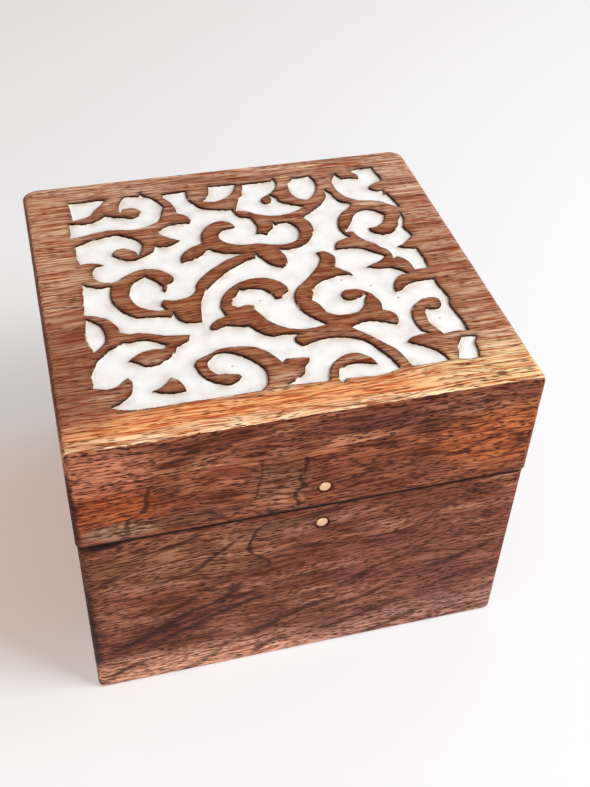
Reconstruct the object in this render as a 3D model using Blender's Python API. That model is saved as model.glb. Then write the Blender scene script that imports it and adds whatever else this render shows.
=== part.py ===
"""Inlaid wooden jewelry box: a lidded box of thick boards with a white scroll ornament let into its lid.

Metres, +Z up, origin under the middle of the box. X runs to the right, and the front faces -Y.
The base is drawn first, then the lid round the hinge axis, its inlay, the linings, the hinges and the catch.
"""
import bpy
import bmesh
import math
from mathutils import Vector

for old in list(bpy.data.objects):
    bpy.data.objects.remove(old, do_unlink=True)

# Driving dimensions of the box
base_width = 0.1022
base_depth = 0.0974
base_height = 0.05285
lid_height = 0.02800
seam_gap = 0.0005
lid_overhang = 0.0003
wall_thickness = 0.0090
bottom_thickness = 0.0042
top_thickness = 0.0104
glue_line = 0.0002

# Hand-rounded edges
front_corner_radius = 0.0015
back_corner_radius = 0.0032
top_edge_radius = 0.0016
bottom_edge_radius = 0.0012

# Carved field on the lid, and the inlay in it
side_margin = 0.0110
front_margin = 0.0100
back_margin = 0.0092
pocket_depth = 0.0022
inlay_recess = 0.0005
inlay_clearance = 0.0003
inlay_bedding = 0.0003

# Felt linings
felt_thickness = 0.0010
felt_clearance = 0.0004
felt_bedding = 0.0003

# Hinges; the two angles are in degrees
lid_opening = 100.0
stop_clearance = 2.0
hinge_spacing_share = 0.55
hinge_spacing = base_width * hinge_spacing_share
hinge_length = 0.0180
barrel_diameter = 0.0032
hinge_pin_diameter = 0.0012
leaf_thickness = 0.0009
leaf_reach = 0.0060
leaf_set_back = 0.0002
end_knuckle_length = 0.0050
running_clearance = 0.0003
leaf_bedding = 0.0003

# Hinge screws
screw_spacing = 0.0100
screw_reach = 0.0039
screw_length = 0.0060
screw_head_diameter = 0.0024
screw_head_height = 0.0006
screw_shank_diameter = 0.0012
screw_clearance = 0.0003

# Catch: two brass pins through the front boards and the spring strip between them
catch_offset = 0.0030
catch_pin_rise = 0.0058
strike_pin_drop = 0.0063
catch_pin_diameter = 0.0028
catch_pin_dome = 0.0003
pin_hole_clearance = 0.0003
strip_thickness = 0.0006
strip_width = 0.0066
strip_seat = 0.0003
fork_reach = 0.0022
fork_flare = 0.0005
neck_diameter = 0.0018
rivet_head_diameter = 0.0044
strike_head_diameter = 0.0032
inner_head_height = 0.0008
catch_relief_depth = 0.0005

# Fineness of the round shapes, and the overrun of every cutter
corner_steps = 5
edge_steps = 4
dome_steps = 3
turned_steps = 24
arc_steps = 12
most_turn = math.radians(18)
smoothing_angle = math.radians(40)
overrun = 0.0010

# Places that follow from the sizes above
base_front = -base_depth / 2
base_back = base_depth / 2
base_side = base_width / 2
lid_front = base_front - lid_overhang
lid_back = base_back + lid_overhang
lid_side = base_side + lid_overhang
inner_side = base_side - wall_thickness
inner_front = base_front + wall_thickness
inner_back = base_back - wall_thickness
lid_bottom = base_height + seam_gap
lid_top = lid_bottom + lid_height
board_bottom = lid_top - top_thickness
barrel_radius = barrel_diameter / 2
hinge_y = base_back - barrel_radius
hinge_z = base_height + seam_gap / 2


def principled(name, hex_colour, roughness, metallic=0.0):
    """A material of one colour, which is given as it looks on a screen."""
    material = bpy.data.materials.new(name)
    material.use_nodes = True
    channels = [int(hex_colour[i:i + 2], 16) / 255 for i in (0, 2, 4)]
    linear = [c / 12.92 if c <= 0.04045 else ((c + 0.055) / 1.055) ** 2.4 for c in channels]
    shader = material.node_tree.nodes["Principled BSDF"]
    shader.inputs["Base Color"].default_value = (*linear, 1.0)
    shader.inputs["Roughness"].default_value = roughness
    shader.inputs["Metallic"].default_value = metallic
    return material


lid_wood = principled("reddish_brown_wood", "a5683f", 0.45)
side_wood = principled("dark_brown_wood", "8c5a47", 0.5)
white_inlay = principled("white_inlay", "f1efea", 0.6)
brass = principled("brass", "d3a873", 0.3, 1.0)
black_felt = principled("black_felt", "1c191a", 0.95)

# Every lid piece hangs on an empty that stands on the hinge axis, so turning it opens the lid
lid_axis = bpy.data.objects.new("lid_hinge_axis", None)
bpy.context.scene.collection.objects.link(lid_axis)
lid_axis.location = (0, hinge_y, hinge_z)


def add_piece(name, shape, material, origin=(0, 0, 0), parent=None, rotation=(0, 0, 0), smooth=False):
    """Makes an object of a mesh that is drawn round its own origin, and hangs it on its parent."""
    bmesh.ops.recalc_face_normals(shape, faces=shape.faces)
    mesh = bpy.data.meshes.new(name)
    shape.to_mesh(mesh)
    shape.free()
    mesh.materials.append(material)
    if smooth:
        mesh.shade_smooth()
        mesh.set_sharp_from_angle(angle=smoothing_angle)
    piece = bpy.data.objects.new(name, mesh)
    bpy.context.scene.collection.objects.link(piece)
    piece.location = Vector(origin) - (parent.location if parent else Vector())
    piece.rotation_euler = rotation
    piece.parent = parent
    return piece


def add_tool(name, shape, origin=(0, 0, 0), rotation=(0, 0, 0)):
    """A shape that only cuts or thickens others, so it is neither rendered nor built."""
    tool = add_piece(name, shape, brass, origin, rotation=rotation)
    tool.hide_render = True
    tool.display_type = "WIRE"
    return tool


def combine(piece, tool, operation="DIFFERENCE"):
    """Cuts a tool's shape out of a piece, or joins it on with UNION."""
    step = piece.modifiers.new(tool.name, "BOOLEAN")
    step.operation = operation
    step.solver = "EXACT"
    step.object = tool


def join_rings(shape, low, high):
    """Faces between two rings of points that have equal counts."""
    for i in range(len(low)):
        shape.faces.new((low[i - 1], low[i], high[i], high[i - 1]))


def stacked(levels):
    """A closed solid through outlines of equal point count, each given with its height."""
    shape = bmesh.new()
    rings = [[shape.verts.new((x, y, z)) for x, y in outline] for outline, z in levels]
    for low, high in zip(rings, rings[1:]):
        join_rings(shape, low, high)
    shape.faces.new(rings[0])
    shape.faces.new(rings[-1])
    return shape


def block(low, high):
    """A square-edged solid between two opposite corners."""
    outline = [(low[0], low[1]), (high[0], low[1]), (high[0], high[1]), (low[0], high[1])]
    return stacked([(outline, low[2]), (outline, high[2])])


def arc(centre_x, centre_y, radius, start, end, steps):
    """Points of an arc, both ends among them; the angles are in degrees."""
    turns = [math.radians(start + (end - start) * k / steps) for k in range(steps + 1)]
    return [(centre_x + radius * math.cos(a), centre_y + radius * math.sin(a)) for a in turns]


def board_plan(side, front, back, front_radius, back_radius):
    """Outline of a board from above, anticlockwise, with rounded corners where a radius is given."""
    points = []
    for x, y, start, radius in ((side, front, -90, front_radius), (side, back, 0, back_radius),
                                (-side, back, 90, back_radius), (-side, front, 180, front_radius)):
        if radius:
            centre_x = x - math.copysign(radius, x)
            centre_y = y + radius if y == front else y - radius
            points += arc(centre_x, centre_y, radius, start, start + 90, corner_steps)
        else:
            points.append((x, y))
    return points


def rounded_edge(radius, side, front, back, rise):
    """Levels of a rounded edge, from the full outline to the drawn-in one, each with its height."""
    levels = []
    for k in range(edge_steps + 1):
        angle = math.radians(90 * k / edge_steps)
        draw_in = radius * (1 - math.cos(angle))
        outline = board_plan(side - draw_in, front + draw_in, back - draw_in,
                             front_corner_radius, back_corner_radius)
        levels.append((outline, rise + radius * math.sin(angle)))
    return levels


def turned(profile, start=0):
    """A shape turned round Z from (radius, height) points, which start and end on the axis.

    The start angle is in degrees. A tool that is turned half a step from its piece cuts it cleanly.
    """
    shape = bmesh.new()
    ends = [shape.verts.new((0, 0, profile[i][1])) for i in (0, -1)]
    rings = []
    for radius, height in profile[1:-1]:
        points = arc(0, 0, radius, start, start + 360, turned_steps)[:-1]
        rings.append([shape.verts.new((x, y, height)) for x, y in points])
    for low, high in zip(rings, rings[1:]):
        join_rings(shape, low, high)
    for end, ring in zip(ends, (rings[0], rings[-1])):
        for i in range(turned_steps):
            shape.faces.new((ring[i - 1], ring[i], end))
    return shape


def round_bar(radius, low, high, start=0):
    """A plain round bar along Z between two heights."""
    return turned([(0, low), (radius, low), (radius, high), (0, high)], start)


def plate(outlines, thickness):
    """A flat plate from Z = 0 up, of one or more outlines and the holes in them."""
    shape = bmesh.new()
    edges = []
    for outline in outlines:
        ring = [shape.verts.new((x, y, 0)) for x, y in outline]
        edges += [shape.edges.new((ring[i - 1], ring[i])) for i in range(len(ring))]
    filled = bmesh.ops.triangle_fill(shape, use_beauty=True, use_dissolve=False, edges=edges)
    faces = [item for item in filled["geom"] if isinstance(item, bmesh.types.BMFace)]
    raised = bmesh.ops.extrude_face_region(shape, geom=faces, use_keep_orig=True)
    points = [item for item in raised["geom"] if isinstance(item, bmesh.types.BMVert)]
    bmesh.ops.translate(shape, verts=points, vec=(0, 0, thickness))
    return shape


# Turns that lay a shape drawn along Z along X or along Y, and one that hangs it upside down
along_x = (0, math.radians(90), 0)
along_y = (math.radians(-90), 0, 0)
upside_down = (math.radians(180), 0, 0)

# Base
# The front and back boards run the full width and the side boards stand between them. A thin bottom
# board, its lower edge rounded by hand, closes the box from below.
wall_foot = bottom_thickness + glue_line
bottom_edge = rounded_edge(bottom_edge_radius, base_side, base_front, base_back, -bottom_edge_radius)
bottom_levels = [(outline, -height) for outline, height in reversed(bottom_edge)]
top_of_bottom = (bottom_edge[0][0], bottom_thickness)
add_piece("base_bottom_board", stacked(bottom_levels + [top_of_bottom]), side_wood)

front_plan = board_plan(base_side, base_front, inner_front, front_corner_radius, 0)
back_plan = board_plan(base_side, inner_back, base_back, 0, back_corner_radius)
front_board = stacked([(front_plan, wall_foot), (front_plan, base_height)])
base_front_wall = add_piece("base_front_wall", front_board, side_wood)
back_board = stacked([(back_plan, wall_foot), (back_plan, base_height)])
base_back_wall = add_piece("base_back_wall", back_board, side_wood)
side_front = inner_front + glue_line
side_back = inner_back - glue_line
for name, left, right in (("base_left_wall", -base_side, -inner_side),
                          ("base_right_wall", inner_side, base_side)):
    add_piece(name, block((left, side_front, wall_foot), (right, side_back, base_height)), side_wood)

# Lid
# A frame like the base's, a little proud of it all round, with the thick top board glued on it.
frame_top = board_bottom - glue_line
lid_front_plan = board_plan(lid_side, lid_front, inner_front, front_corner_radius, 0)
lid_back_plan = board_plan(lid_side, inner_back, lid_back, 0, back_corner_radius)


def add_lid_piece(name, shape, material):
    """A piece of the lid that is drawn in the box's own place."""
    bmesh.ops.translate(shape, verts=shape.verts, vec=-lid_axis.location)
    return add_piece(name, shape, material, lid_axis.location, lid_axis)


lid_front_board = stacked([(lid_front_plan, lid_bottom), (lid_front_plan, frame_top)])
lid_front_wall = add_lid_piece("lid_front_wall", lid_front_board, side_wood)
lid_back_board = stacked([(lid_back_plan, lid_bottom), (lid_back_plan, frame_top)])
lid_back_wall = add_lid_piece("lid_back_wall", lid_back_board, side_wood)
for name, left, right in (("lid_left_wall", -lid_side, -inner_side),
                          ("lid_right_wall", inner_side, lid_side)):
    add_lid_piece(name, block((left, side_front, lid_bottom), (right, side_back, frame_top)), side_wood)

top_edge = rounded_edge(top_edge_radius, lid_side, lid_front, lid_back, lid_top - top_edge_radius)
lid_top_board = add_lid_piece("lid_top_board", stacked([(top_edge[0][0], board_bottom)] + top_edge), lid_wood)

# Inlay
# The scroll ornament, drawn by hand from left to right and from front to back in hundredths of the
# carved field. Each row of points is one smooth run, which starts at a corner of the outline and ends
# at the next row's corner.
corner_flag_shares = [
    [(0.5, 99.8)], [(10.8, 99.9), (9.3, 97.6), (7.3, 95.2), (6.2, 93.2), (4.2, 91.7)], [(0.9, 90.8)],
]
upper_left_hook_shares = [
    [(-0.5, 88.2), (3.7, 87.3), (6, 87.6), (8.2, 88.7)],
    [(10.6, 90.5), (13, 89.3), (16, 88.4), (18.9, 87.5), (21.9, 91), (20.8, 93.3), (18.5, 94.4)],
    [(16.2, 94.2)], [(15.4, 92.4), (15.5, 95), (16.4, 98)], [(18, 100.2)], [(22.4, 99.5)], [(22.9, 100.8)],
    [(23.6, 99.6), (25.2, 98.3), (26.9, 95.8)], [(28.3, 92.4), (27.5, 90), (26.7, 87.3)],
    [(25.7, 85.1), (23.5, 83.6), (21, 82.6), (18.3, 81.9), (15, 82.4), (11, 83), (6, 82.7), (3, 81.8)],
    [(-0.7, 81.2)],
]
left_branch_shares = [
    [(0, 75.7), (2.5, 76.6), (4.5, 77.7), (7.5, 78.3), (10, 78.9), (12.3, 79.1), (14.3, 78), (16.5, 76.4),
     (18, 74.5), (18.6, 72.3)], [(17.2, 68.3)],
    [(16.8, 70.1), (13.8, 72.4), (11.8, 72.4), (9.3, 69.4), (11.8, 66.1), (15.4, 64.8), (19.7, 66.5),
     (21.6, 67.8)], [(23, 70.4), (27, 69.9)], [(31.2, 72.7), (28.8, 74.4), (26.8, 76)],
    [(25.4, 78.2), (26.8, 80), (29, 81), (32, 81.3)], [(35.4, 81), (36.1, 83.2), (35.6, 85.5)],
    [(32.7, 88.1), (32.6, 91), (32, 94)], [(29.8, 98.2)], [(30, 99.1)],
    [(36.7, 99.5), (36.6, 97), (36.8, 94.4), (38, 92)],
    [(39.2, 89.8), (41, 88.1), (43.2, 87.1), (45.6, 86.5), (47.5, 85.9)],
    [(49.2, 86), (49.6, 83.6), (50.8, 81.2)], [(53.7, 79.8), (54.5, 75)], [(54.1, 73)], [(53.4, 71.3)],
    [(57.1, 69.6), (58.4, 71.5)], [(60, 73)], [(60.4, 75.3)],
    [(61, 74.3), (62.2, 75), (65.4, 74), (66.4, 72), (66.6, 69.5), (64.8, 65.6), (60.2, 64.3), (57.5, 64.8),
     (53.2, 66.4), (48.5, 66.6), (46, 67.6), (44, 69), (42.8, 71), (42.9, 73.2), (44.2, 74.8), (46.3, 75.3)],
    [(48.6, 75.6), (48.5, 77.5), (47.2, 79.7), (45.2, 80.9), (40.7, 79.7), (38.6, 77.4), (37.2, 75),
     (36.6, 72.5)], [(36.4, 70.1), (32.4, 68.2), (30.4, 66.5), (28.5, 62.2)],
    [(28.8, 60.4), (33.4, 61.6), (35.5, 63)], [(37.4, 64.9)], [(38.2, 65.3), (41.8, 62.7)],
    [(46.5, 61.6), (42, 59.8), (39.3, 58), (36.6, 56.1), (34, 53.7), (31.7, 51), (30.5, 49), (30.1, 46.8),
     (28.6, 44.9), (26, 43.8), (23.3, 43.6)], [(20.7, 44.7), (19.3, 42)],
    [(20.2, 39.7), (18, 40), (15.6, 41.2), (13.6, 43.2), (12.1, 48.2), (12.6, 50.7), (13.8, 53.3)],
    [(17.4, 55.8), (20.2, 52.3)], [(21.2, 50.2), (20.9, 48.9)], [(21.8, 46.8), (22.7, 48.6), (23.6, 50.5)],
    [(25.2, 52), (25.7, 53.8), (24.9, 56), (23.4, 58.1), (21.3, 59.6), (18.7, 60.3), (15.8, 60.3),
     (13.2, 59.2), (10.6, 57.5), (8.8, 56.1), (4.8, 57.1), (3.3, 61.6), (4.4, 63.6)], [(6, 64.2)],
    [(7.4, 64.6), (5.6, 65.9), (3, 66.8)], [(0.2, 66.7), (-0.2, 71)],
]
left_half_petal_shares = [
    [(-1.3, 38.9), (0.6, 37.2), (1.9, 34.6), (2.2, 31.8), (1.8, 28.7)],
    [(-0.9, 25.7), (-1.8, 29.5), (-1.9, 34.5)],
]
great_scroll_shares = [
    [(81.3, 90.3)], [(82.2, 89), (82.5, 86.4), (83.6, 83.8)], [(86.6, 81.4)],
    [(85.8, 80), (83.3, 78), (81.1, 75.4), (79.8, 72.4), (79.1, 69.4), (79.3, 66.7)], [(80, 64.3)],
    [(80.8, 63.7), (78.5, 62.9), (76.3, 61.6)],
    [(74.7, 57.4), (77.5, 57.2), (80.5, 56.9), (83.2, 55.9), (85.4, 54)],
    [(88.5, 51.1), (86.2, 49.4), (83.5, 48.2)], [(80.9, 46.9)], [(85, 44.8), (87.8, 44.6), (90.2, 43.5)],
    [(92.2, 41.1)], [(90.9, 41.5), (88.8, 40.3), (87, 37.9), (86, 35.3)],
    [(85.9, 32.7), (88.3, 33.3), (90.5, 35.2), (93.2, 36.2), (96, 36.4)],
    [(98.9, 36.3), (98.9, 33), (99.5, 29.5)], [(99.8, 27.3)], [(98.8, 24), (99.1, 20), (99.7, 16)],
    [(99.7, 12), (96.6, 12.5)], [(93.3, 11.9), (92.1, 15), (91.2, 18), (91.5, 20.8)],
    [(92.3, 23.1), (94.7, 22.3), (96.7, 23.3), (97.6, 25.7), (96.9, 28.3)],
    [(95.3, 28.8), (92.6, 28.5), (89.9, 27), (87.9, 24.7), (86.7, 21.5), (86.4, 17.7)], [(87.2, 13.9)],
    [(88.6, 13.1), (85.8, 13.1), (83.3, 12.2)], [(81.6, 10.4), (83.8, 8.5), (86.4, 6.7), (88.6, 4.4)],
    [(90, 0.9), (85, 0.6)], [(80.3, 0.9), (79.7, 4), (78.9, 7)],
    [(77.9, 9.3), (76, 11.8), (74.2, 14.5), (72, 17.2)],
    [(69.6, 20), (72, 21), (75, 21.2), (77.8, 20.3), (80.2, 18.9)],
    [(82.1, 18.1), (83.2, 20.3), (83.3, 22.8), (82.1, 25)],
    [(80.3, 26.2), (80.8, 29), (80.2, 32.2), (78.8, 34.9), (76.5, 36.8), (73.6, 37.7), (71.5, 37.3),
     (70.1, 35.3), (70.5, 33), (72.3, 31.8), (74.5, 32.2)],
    [(76.8, 33.2), (75.9, 31.3), (74.9, 28.9), (72.8, 27), (70, 26.4), (64.9, 28.2), (64, 30.5),
     (63.2, 33.1)], [(62, 34.9)], [(63, 36.5), (63.5, 39), (65, 41.2), (67.6, 42.8), (70.5, 43.5)],
    [(73, 44.3), (75, 43.9)], [(77, 43), (76.4, 45.3), (74.8, 47.2)],
    [(73, 49.2), (74.2, 54), (73.3, 56.6), (71.4, 58)],
    [(68.7, 57.8), (69.1, 55.2), (68.3, 52.5), (66.5, 49.7), (64, 46.8), (61.3, 43.9)],
    [(58.8, 41.7), (57.4, 39.3), (56.5, 36), (56.6, 32.3), (57.8, 28.9), (59.9, 25.8)],
    [(62, 23.2), (59, 22.7), (56, 22.7), (52.8, 23.7), (50, 25.6), (47.8, 28.3), (46.4, 31.4), (45.3, 34.8)],
    [(45.4, 36.2), (43.4, 36.9)], [(40.6, 36.3)], [(39.5, 37.3)], [(40.2, 39.8), (41.3, 41.2)],
    [(42.8, 43.8)], [(43.6, 43.2), (46, 43.4), (48.6, 42.4), (50.5, 40.2)], [(51.5, 37.2), (53.5, 37.2)],
    [(55, 38.8)],
    [(56.5, 40.2), (56.6, 42.5), (55.3, 45.3), (53.2, 47.4), (50.3, 48.8), (47, 49), (43.7, 48.1),
     (40.6, 46.3), (38, 43.6), (36.1, 40.4), (35.2, 36.8)],
    [(35.9, 33), (33.6, 32.2), (31.6, 30.5), (30.6, 28.3), (31.3, 26.9), (35.5, 27.9), (38.3, 27)],
    [(41.3, 26.5), (42.8, 24.2), (44.6, 22.1)], [(46.9, 20.5), (49, 20.8)], [(51.3, 20.5)], [(53.2, 20.3)],
    [(52.2, 19.6), (52, 17.5)],
    [(53.7, 14.6), (56, 15.4), (58.8, 16.2), (62, 16.5), (65.3, 15.9), (68.4, 14.7), (71, 12.8)],
    [(72.2, 10.7), (73.6, 7.7), (75, 4.5)], [(76.1, 0.6)], [(71.3, -0.8), (66, -0.5)], [(61.3, 0)],
    [(60.2, -1.3)], [(60, 0), (60.7, 2.5), (62.8, 4), (66, 4.4), (69, 3.6)],
    [(71.8, 2.6), (71, 5.6), (69.3, 8.1), (67, 9.5), (64.3, 9.5), (61.3, 8.1), (58.9, 5.9), (57.5, 3.2)],
    [(56.5, 0), (52, 0.3)], [(46.5, 0.7), (49.2, 1.9)], [(51.8, 3.8), (52.4, 6.2), (54, 8.3)],
    [(54.8, 10.2), (52.5, 10.9)], [(48, 11.4)],
    [(46.8, 10.4), (45.6, 13.2), (43.5, 16), (41, 18.2), (37.5, 19.2), (34, 19.5)],
    [(31.5, 19.4), (28.5, 17.9)], [(24.6, 15.8)],
    [(23.3, 13.7), (24, 10.8), (25.3, 7.4), (28, 5), (31.3, 3.6), (34, 4.7), (35.3, 6.8)],
    [(34.6, 8), (32, 8.7)],
    [(29.2, 9.1), (27.8, 11.2), (27.6, 13.6), (29, 15.6), (31.2, 16.8), (33.5, 16.4)],
    [(36.2, 14.7), (38.3, 12.5), (40, 10)], [(41, 8), (41, 4.5), (40.3, 2)],
    [(38.8, 0.3), (30, 0.1), (20, 0.3), (10, 0.2), (4.5, 0.6)],
    [(1.2, 1.9), (4, 3.5), (6.3, 5.9), (7.2, 9), (7.2, 11.5)],
    [(6.2, 13.1), (4.9, 12.3), (3, 10.4), (0.2, 9.7)], [(-2.8, 10.9)], [(-2.3, 13)],
    [(-2.5, 15.6), (-1.3, 18.6)], [(-0.3, 20.9), (1.5, 22.8)], [(3.2, 24.6), (5, 25.4)], [(7, 27)],
    [(8.5, 26.6), (11.5, 26.8), (14.5, 25.9)], [(17.6, 23.7)],
    [(17, 22.9), (14, 23.2), (11, 22.6), (8.5, 20.9)], [(6.6, 19.2)],
    [(9.4, 17.5), (11, 15.9), (13.2, 15.4), (15.5, 16.2), (18, 17.7), (20, 19.8)],
    [(21, 22.2), (24.7, 24.4)], [(25.4, 27.1), (22, 27.7), (18.5, 28.4), (15.5, 29.8), (12.2, 31)],
    [(8.6, 31.4)], [(7.3, 32.3), (6.6, 35.2), (5, 38.3), (2.5, 40.4)], [(-1.2, 42), (-0.8, 48)],
    [(0, 55.3), (2, 53.8), (4.5, 53)], [(6.7, 53.1), (6, 50), (6.1, 46.5), (7.2, 43), (9.3, 39.6)],
    [(12, 37), (17, 36.3)], [(21.8, 35.3)], [(22.3, 36.6)], [(22.8, 34.2), (24.4, 32.3), (27, 31.2)],
    [(29.7, 31.4), (30.3, 35.5), (31.2, 40.5)], [(32.8, 44.2), (35, 47.2), (38.3, 50.6)],
    [(41.6, 53.5), (45.5, 55.8), (48.5, 57.6)], [(50.9, 58)], [(51.3, 59.9), (52.3, 57.2), (54, 54.1)],
    [(57.5, 51.5)], [(59.4, 53.3), (60.1, 56), (60, 58.7)], [(59.3, 61), (62.5, 60.6)], [(65, 61)],
    [(67.8, 62.7), (69.9, 65.1), (71.4, 67.8)], [(72.1, 70), (72.1, 73)],
    [(70.8, 77), (74, 79.4), (77, 81.8), (79.6, 85)], [(81, 87.6)],
]
wood_island_shares = [
    [(10.5, 6.1), (12.7, 6.8), (15, 8.5)], [(17.1, 11), (18.8, 9.3), (20, 6.5)],
    [(20.4, 3.8), (16.5, 3.5), (13.2, 4.5)],
]
top_petal_shares = [
    [(45.2, 100.9)], [(53.1, 100.4), (52.3, 98.1), (50.6, 95.5), (48, 93.5), (45, 92.6)],
    [(42.1, 93.4), (43.6, 95.2), (44.5, 97.3)],
]
top_crescent_shares = [
    [(56.2, 99.9)], [(65.8, 100)], [(66.3, 101.2)],
    [(66.4, 99.2), (64.6, 94.9), (62.4, 92.9), (60.5, 91.7), (59.2, 89.8), (61, 86.7), (62.6, 87.5)],
    [(63.4, 91.4), (64.3, 90.2)], [(64.6, 88.1), (66, 86.4), (68.3, 84.9)],
    [(71.3, 83.2), (69, 81.6), (66.3, 80.7), (63, 80.3), (59.7, 80.9), (56.6, 82.5), (53.8, 84.8)],
    [(51, 85.6)], [(52.4, 89.7), (53.3, 92), (54.8, 94)], [(55.5, 96.4)],
]
top_almond_shares = [
    [(73, 100.3)], [(78, 100.4), (78.9, 97.8), (78.8, 94.8), (77.8, 91.6), (76.2, 89.1)],
    [(74.2, 87.4), (72.2, 88.4), (70.9, 90.6), (70.4, 93.8), (70.9, 97.1)],
]
upper_right_tail_shares = [
    [(87.2, 99.4)], [(88.3, 96.3), (91, 96.4)], [(94.1, 95.2), (94.8, 96.8), (94.5, 98.8)], [(93.4, 100.5)],
    [(94.5, 101.1)], [(100, 101.3), (100.3, 98), (100.8, 95.4)],
    [(100.7, 93.6), (96.6, 91.5), (95.3, 90), (97.4, 86.9)], [(99.3, 86.7)], [(98.9, 84.4)],
    [(100, 84.4), (100.6, 82)],
    [(101.3, 77.2), (99.7, 78.7), (97.6, 80.8), (94.8, 82.3), (91.8, 82.9), (89.2, 84.2), (87.2, 86.3),
     (85.8, 89.3), (85.2, 92.8), (85.6, 96.4)],
]
right_curl_shares = [
    [(81.5, 66.6), (83.2, 69.1), (84.8, 71.6), (86.2, 74.2), (88, 76), (90.4, 76.6), (93, 75.8)],
    [(95.2, 73), (94.2, 70.4), (90.4, 67.4)],
    [(88.2, 67.3), (88.3, 65.2), (89.9, 63.2), (92.2, 62.1), (94.8, 62.4), (97, 64.2), (98.7, 67), (100, 70)],
    [(100.9, 72.3), (100.4, 69.5)], [(98.7, 65.3), (99.2, 63)], [(100, 60.1), (97.8, 58), (95.6, 56.3)],
    [(93.3, 55.3), (96, 53.6)], [(99.1, 52.6), (99.4, 48)], [(99.1, 43.1)],
    [(95.6, 42.9), (95.4, 46), (94.4, 48.9)], [(92.5, 50.5)], [(91.4, 50.1), (91.4, 52.8), (90.6, 55)],
    [(89.3, 56.4), (88.2, 58.5), (86.3, 60.3), (84.8, 62.4)], [(83.4, 66.5)],
]
lower_right_chip_shares = [
    [(97.6, 8.9)], [(100.8, 8.3), (99.6, 6), (99.2, 3)], [(98.5, 0.2), (96.2, 0.1)],
    [(93.7, 0.8), (94.6, 3), (95.3, 5.4)],
]
inlay_shares = {
    "corner_flag": (corner_flag_shares, None),
    "upper_left_hook": (upper_left_hook_shares, None),
    "left_branch": (left_branch_shares, None),
    "left_half_petal": (left_half_petal_shares, None),
    "great_scroll": (great_scroll_shares, wood_island_shares),
    "top_petal": (top_petal_shares, None),
    "top_crescent": (top_crescent_shares, None),
    "top_almond": (top_almond_shares, None),
    "upper_right_tail": (upper_right_tail_shares, None),
    "right_curl": (right_curl_shares, None),
    "lower_right_chip": (lower_right_chip_shares, None),
}

hundredth_share = 0.01
field_left = -lid_side + side_margin
field_front = lid_front + front_margin
field_width = 2 * (lid_side - side_margin)
field_depth = lid_back - back_margin - field_front


def field_points(rows):
    """Rows of hundredths as rows of places on the lid."""
    across = field_width * hundredth_share
    along = field_depth * hundredth_share
    return [[Vector((field_left + u * across, field_front + v * along)) for u, v in row] for row in rows]


def heading(before, here, after):
    """Direction of a smooth run as it passes a point, from that point and its two neighbours."""
    arriving, leaving = here - before, after - here
    a, b = arriving.length, leaving.length
    return (arriving * (b / a) + leaving * (a / b)) / (a + b)


def smooth_outline(rows):
    """Points along the outline, closer together where it bends more, with its corners kept."""
    rows = field_points(rows)
    points = []
    for index, row in enumerate(rows):
        run = row + [rows[(index + 1) % len(rows)][0]]
        run = [2 * run[0] - run[1]] + run + [2 * run[-1] - run[-2]]
        for before, start, end, after in zip(run, run[1:], run[2:], run[3:]):
            span = (end - start).length
            leave = heading(before, start, end) * span
            arrive = heading(start, end, after) * span
            steps = max(1, math.ceil(abs(leave.angle_signed(arrive)) / most_turn))
            for k in range(steps):
                t = k / steps
                points.append(start * (2 * t ** 3 - 3 * t ** 2 + 1) + leave * (t ** 3 - 2 * t ** 2 + t)
                              + end * (3 * t ** 2 - 2 * t ** 3) + arrive * (t ** 3 - t ** 2))
    return points


def enclosed_area(points):
    """Area inside an outline, above zero where it runs anticlockwise."""
    return sum(points[i - 1].cross(points[i]) for i in range(len(points))) / 2


# Keeps the mitre of a sharp tip short
least_mitre_share = 0.25


def let_out(points, distance):
    """The outline moved outwards by a distance, or inwards below zero, with mitred corners."""
    way = distance if enclosed_area(points) > 0 else -distance
    moved = []
    for i, here in enumerate(points):
        arriving = (here - points[i - 1]).normalized()
        leaving = (points[(i + 1) % len(points)] - here).normalized()
        mitre = Vector((arriving.y + leaving.y, -arriving.x - leaving.x))
        moved.append(here + mitre * way / max(mitre.length_squared / 2, least_mitre_share))
    return moved


pocket_floor = lid_top - pocket_depth
inlay_thickness = pocket_depth - inlay_bedding - inlay_recess
pocket_outlines = []
for name, (rows, island_rows) in inlay_shares.items():
    outline = smooth_outline(rows)
    island = smooth_outline(island_rows) if island_rows else []
    outlines = [outline, island] if island else [outline]
    bed = (0, 0, pocket_floor + inlay_bedding)
    add_piece("inlay_" + name, plate(outlines, inlay_thickness), white_inlay, bed, lid_axis)
    pocket_outlines.append(let_out(outline, inlay_clearance))
    if island:
        pocket_outlines.append(let_out(island, -inlay_clearance))
pockets = add_tool("inlay_pockets", plate(pocket_outlines, pocket_depth + overrun), (0, 0, pocket_floor))
combine(lid_top_board, pockets)

# Linings
# A felt sheet lies on the base's floor and another is glued under the top board.
felt_side = inner_side - felt_clearance
felt_front = inner_front + felt_clearance
felt_back = inner_back - felt_clearance
floor_level = bottom_thickness + felt_bedding
ceiling_level = board_bottom - felt_bedding
floor_face = floor_level + felt_thickness
floor_felt = block((-felt_side, felt_front, floor_level), (felt_side, felt_back, floor_face))
add_piece("base_floor_lining", floor_felt, black_felt)
felt_face = ceiling_level - felt_thickness
ceiling_felt = block((-felt_side, felt_front, felt_face), (felt_side, felt_back, ceiling_level))
add_lid_piece("lid_lining", ceiling_felt, black_felt)

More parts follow.
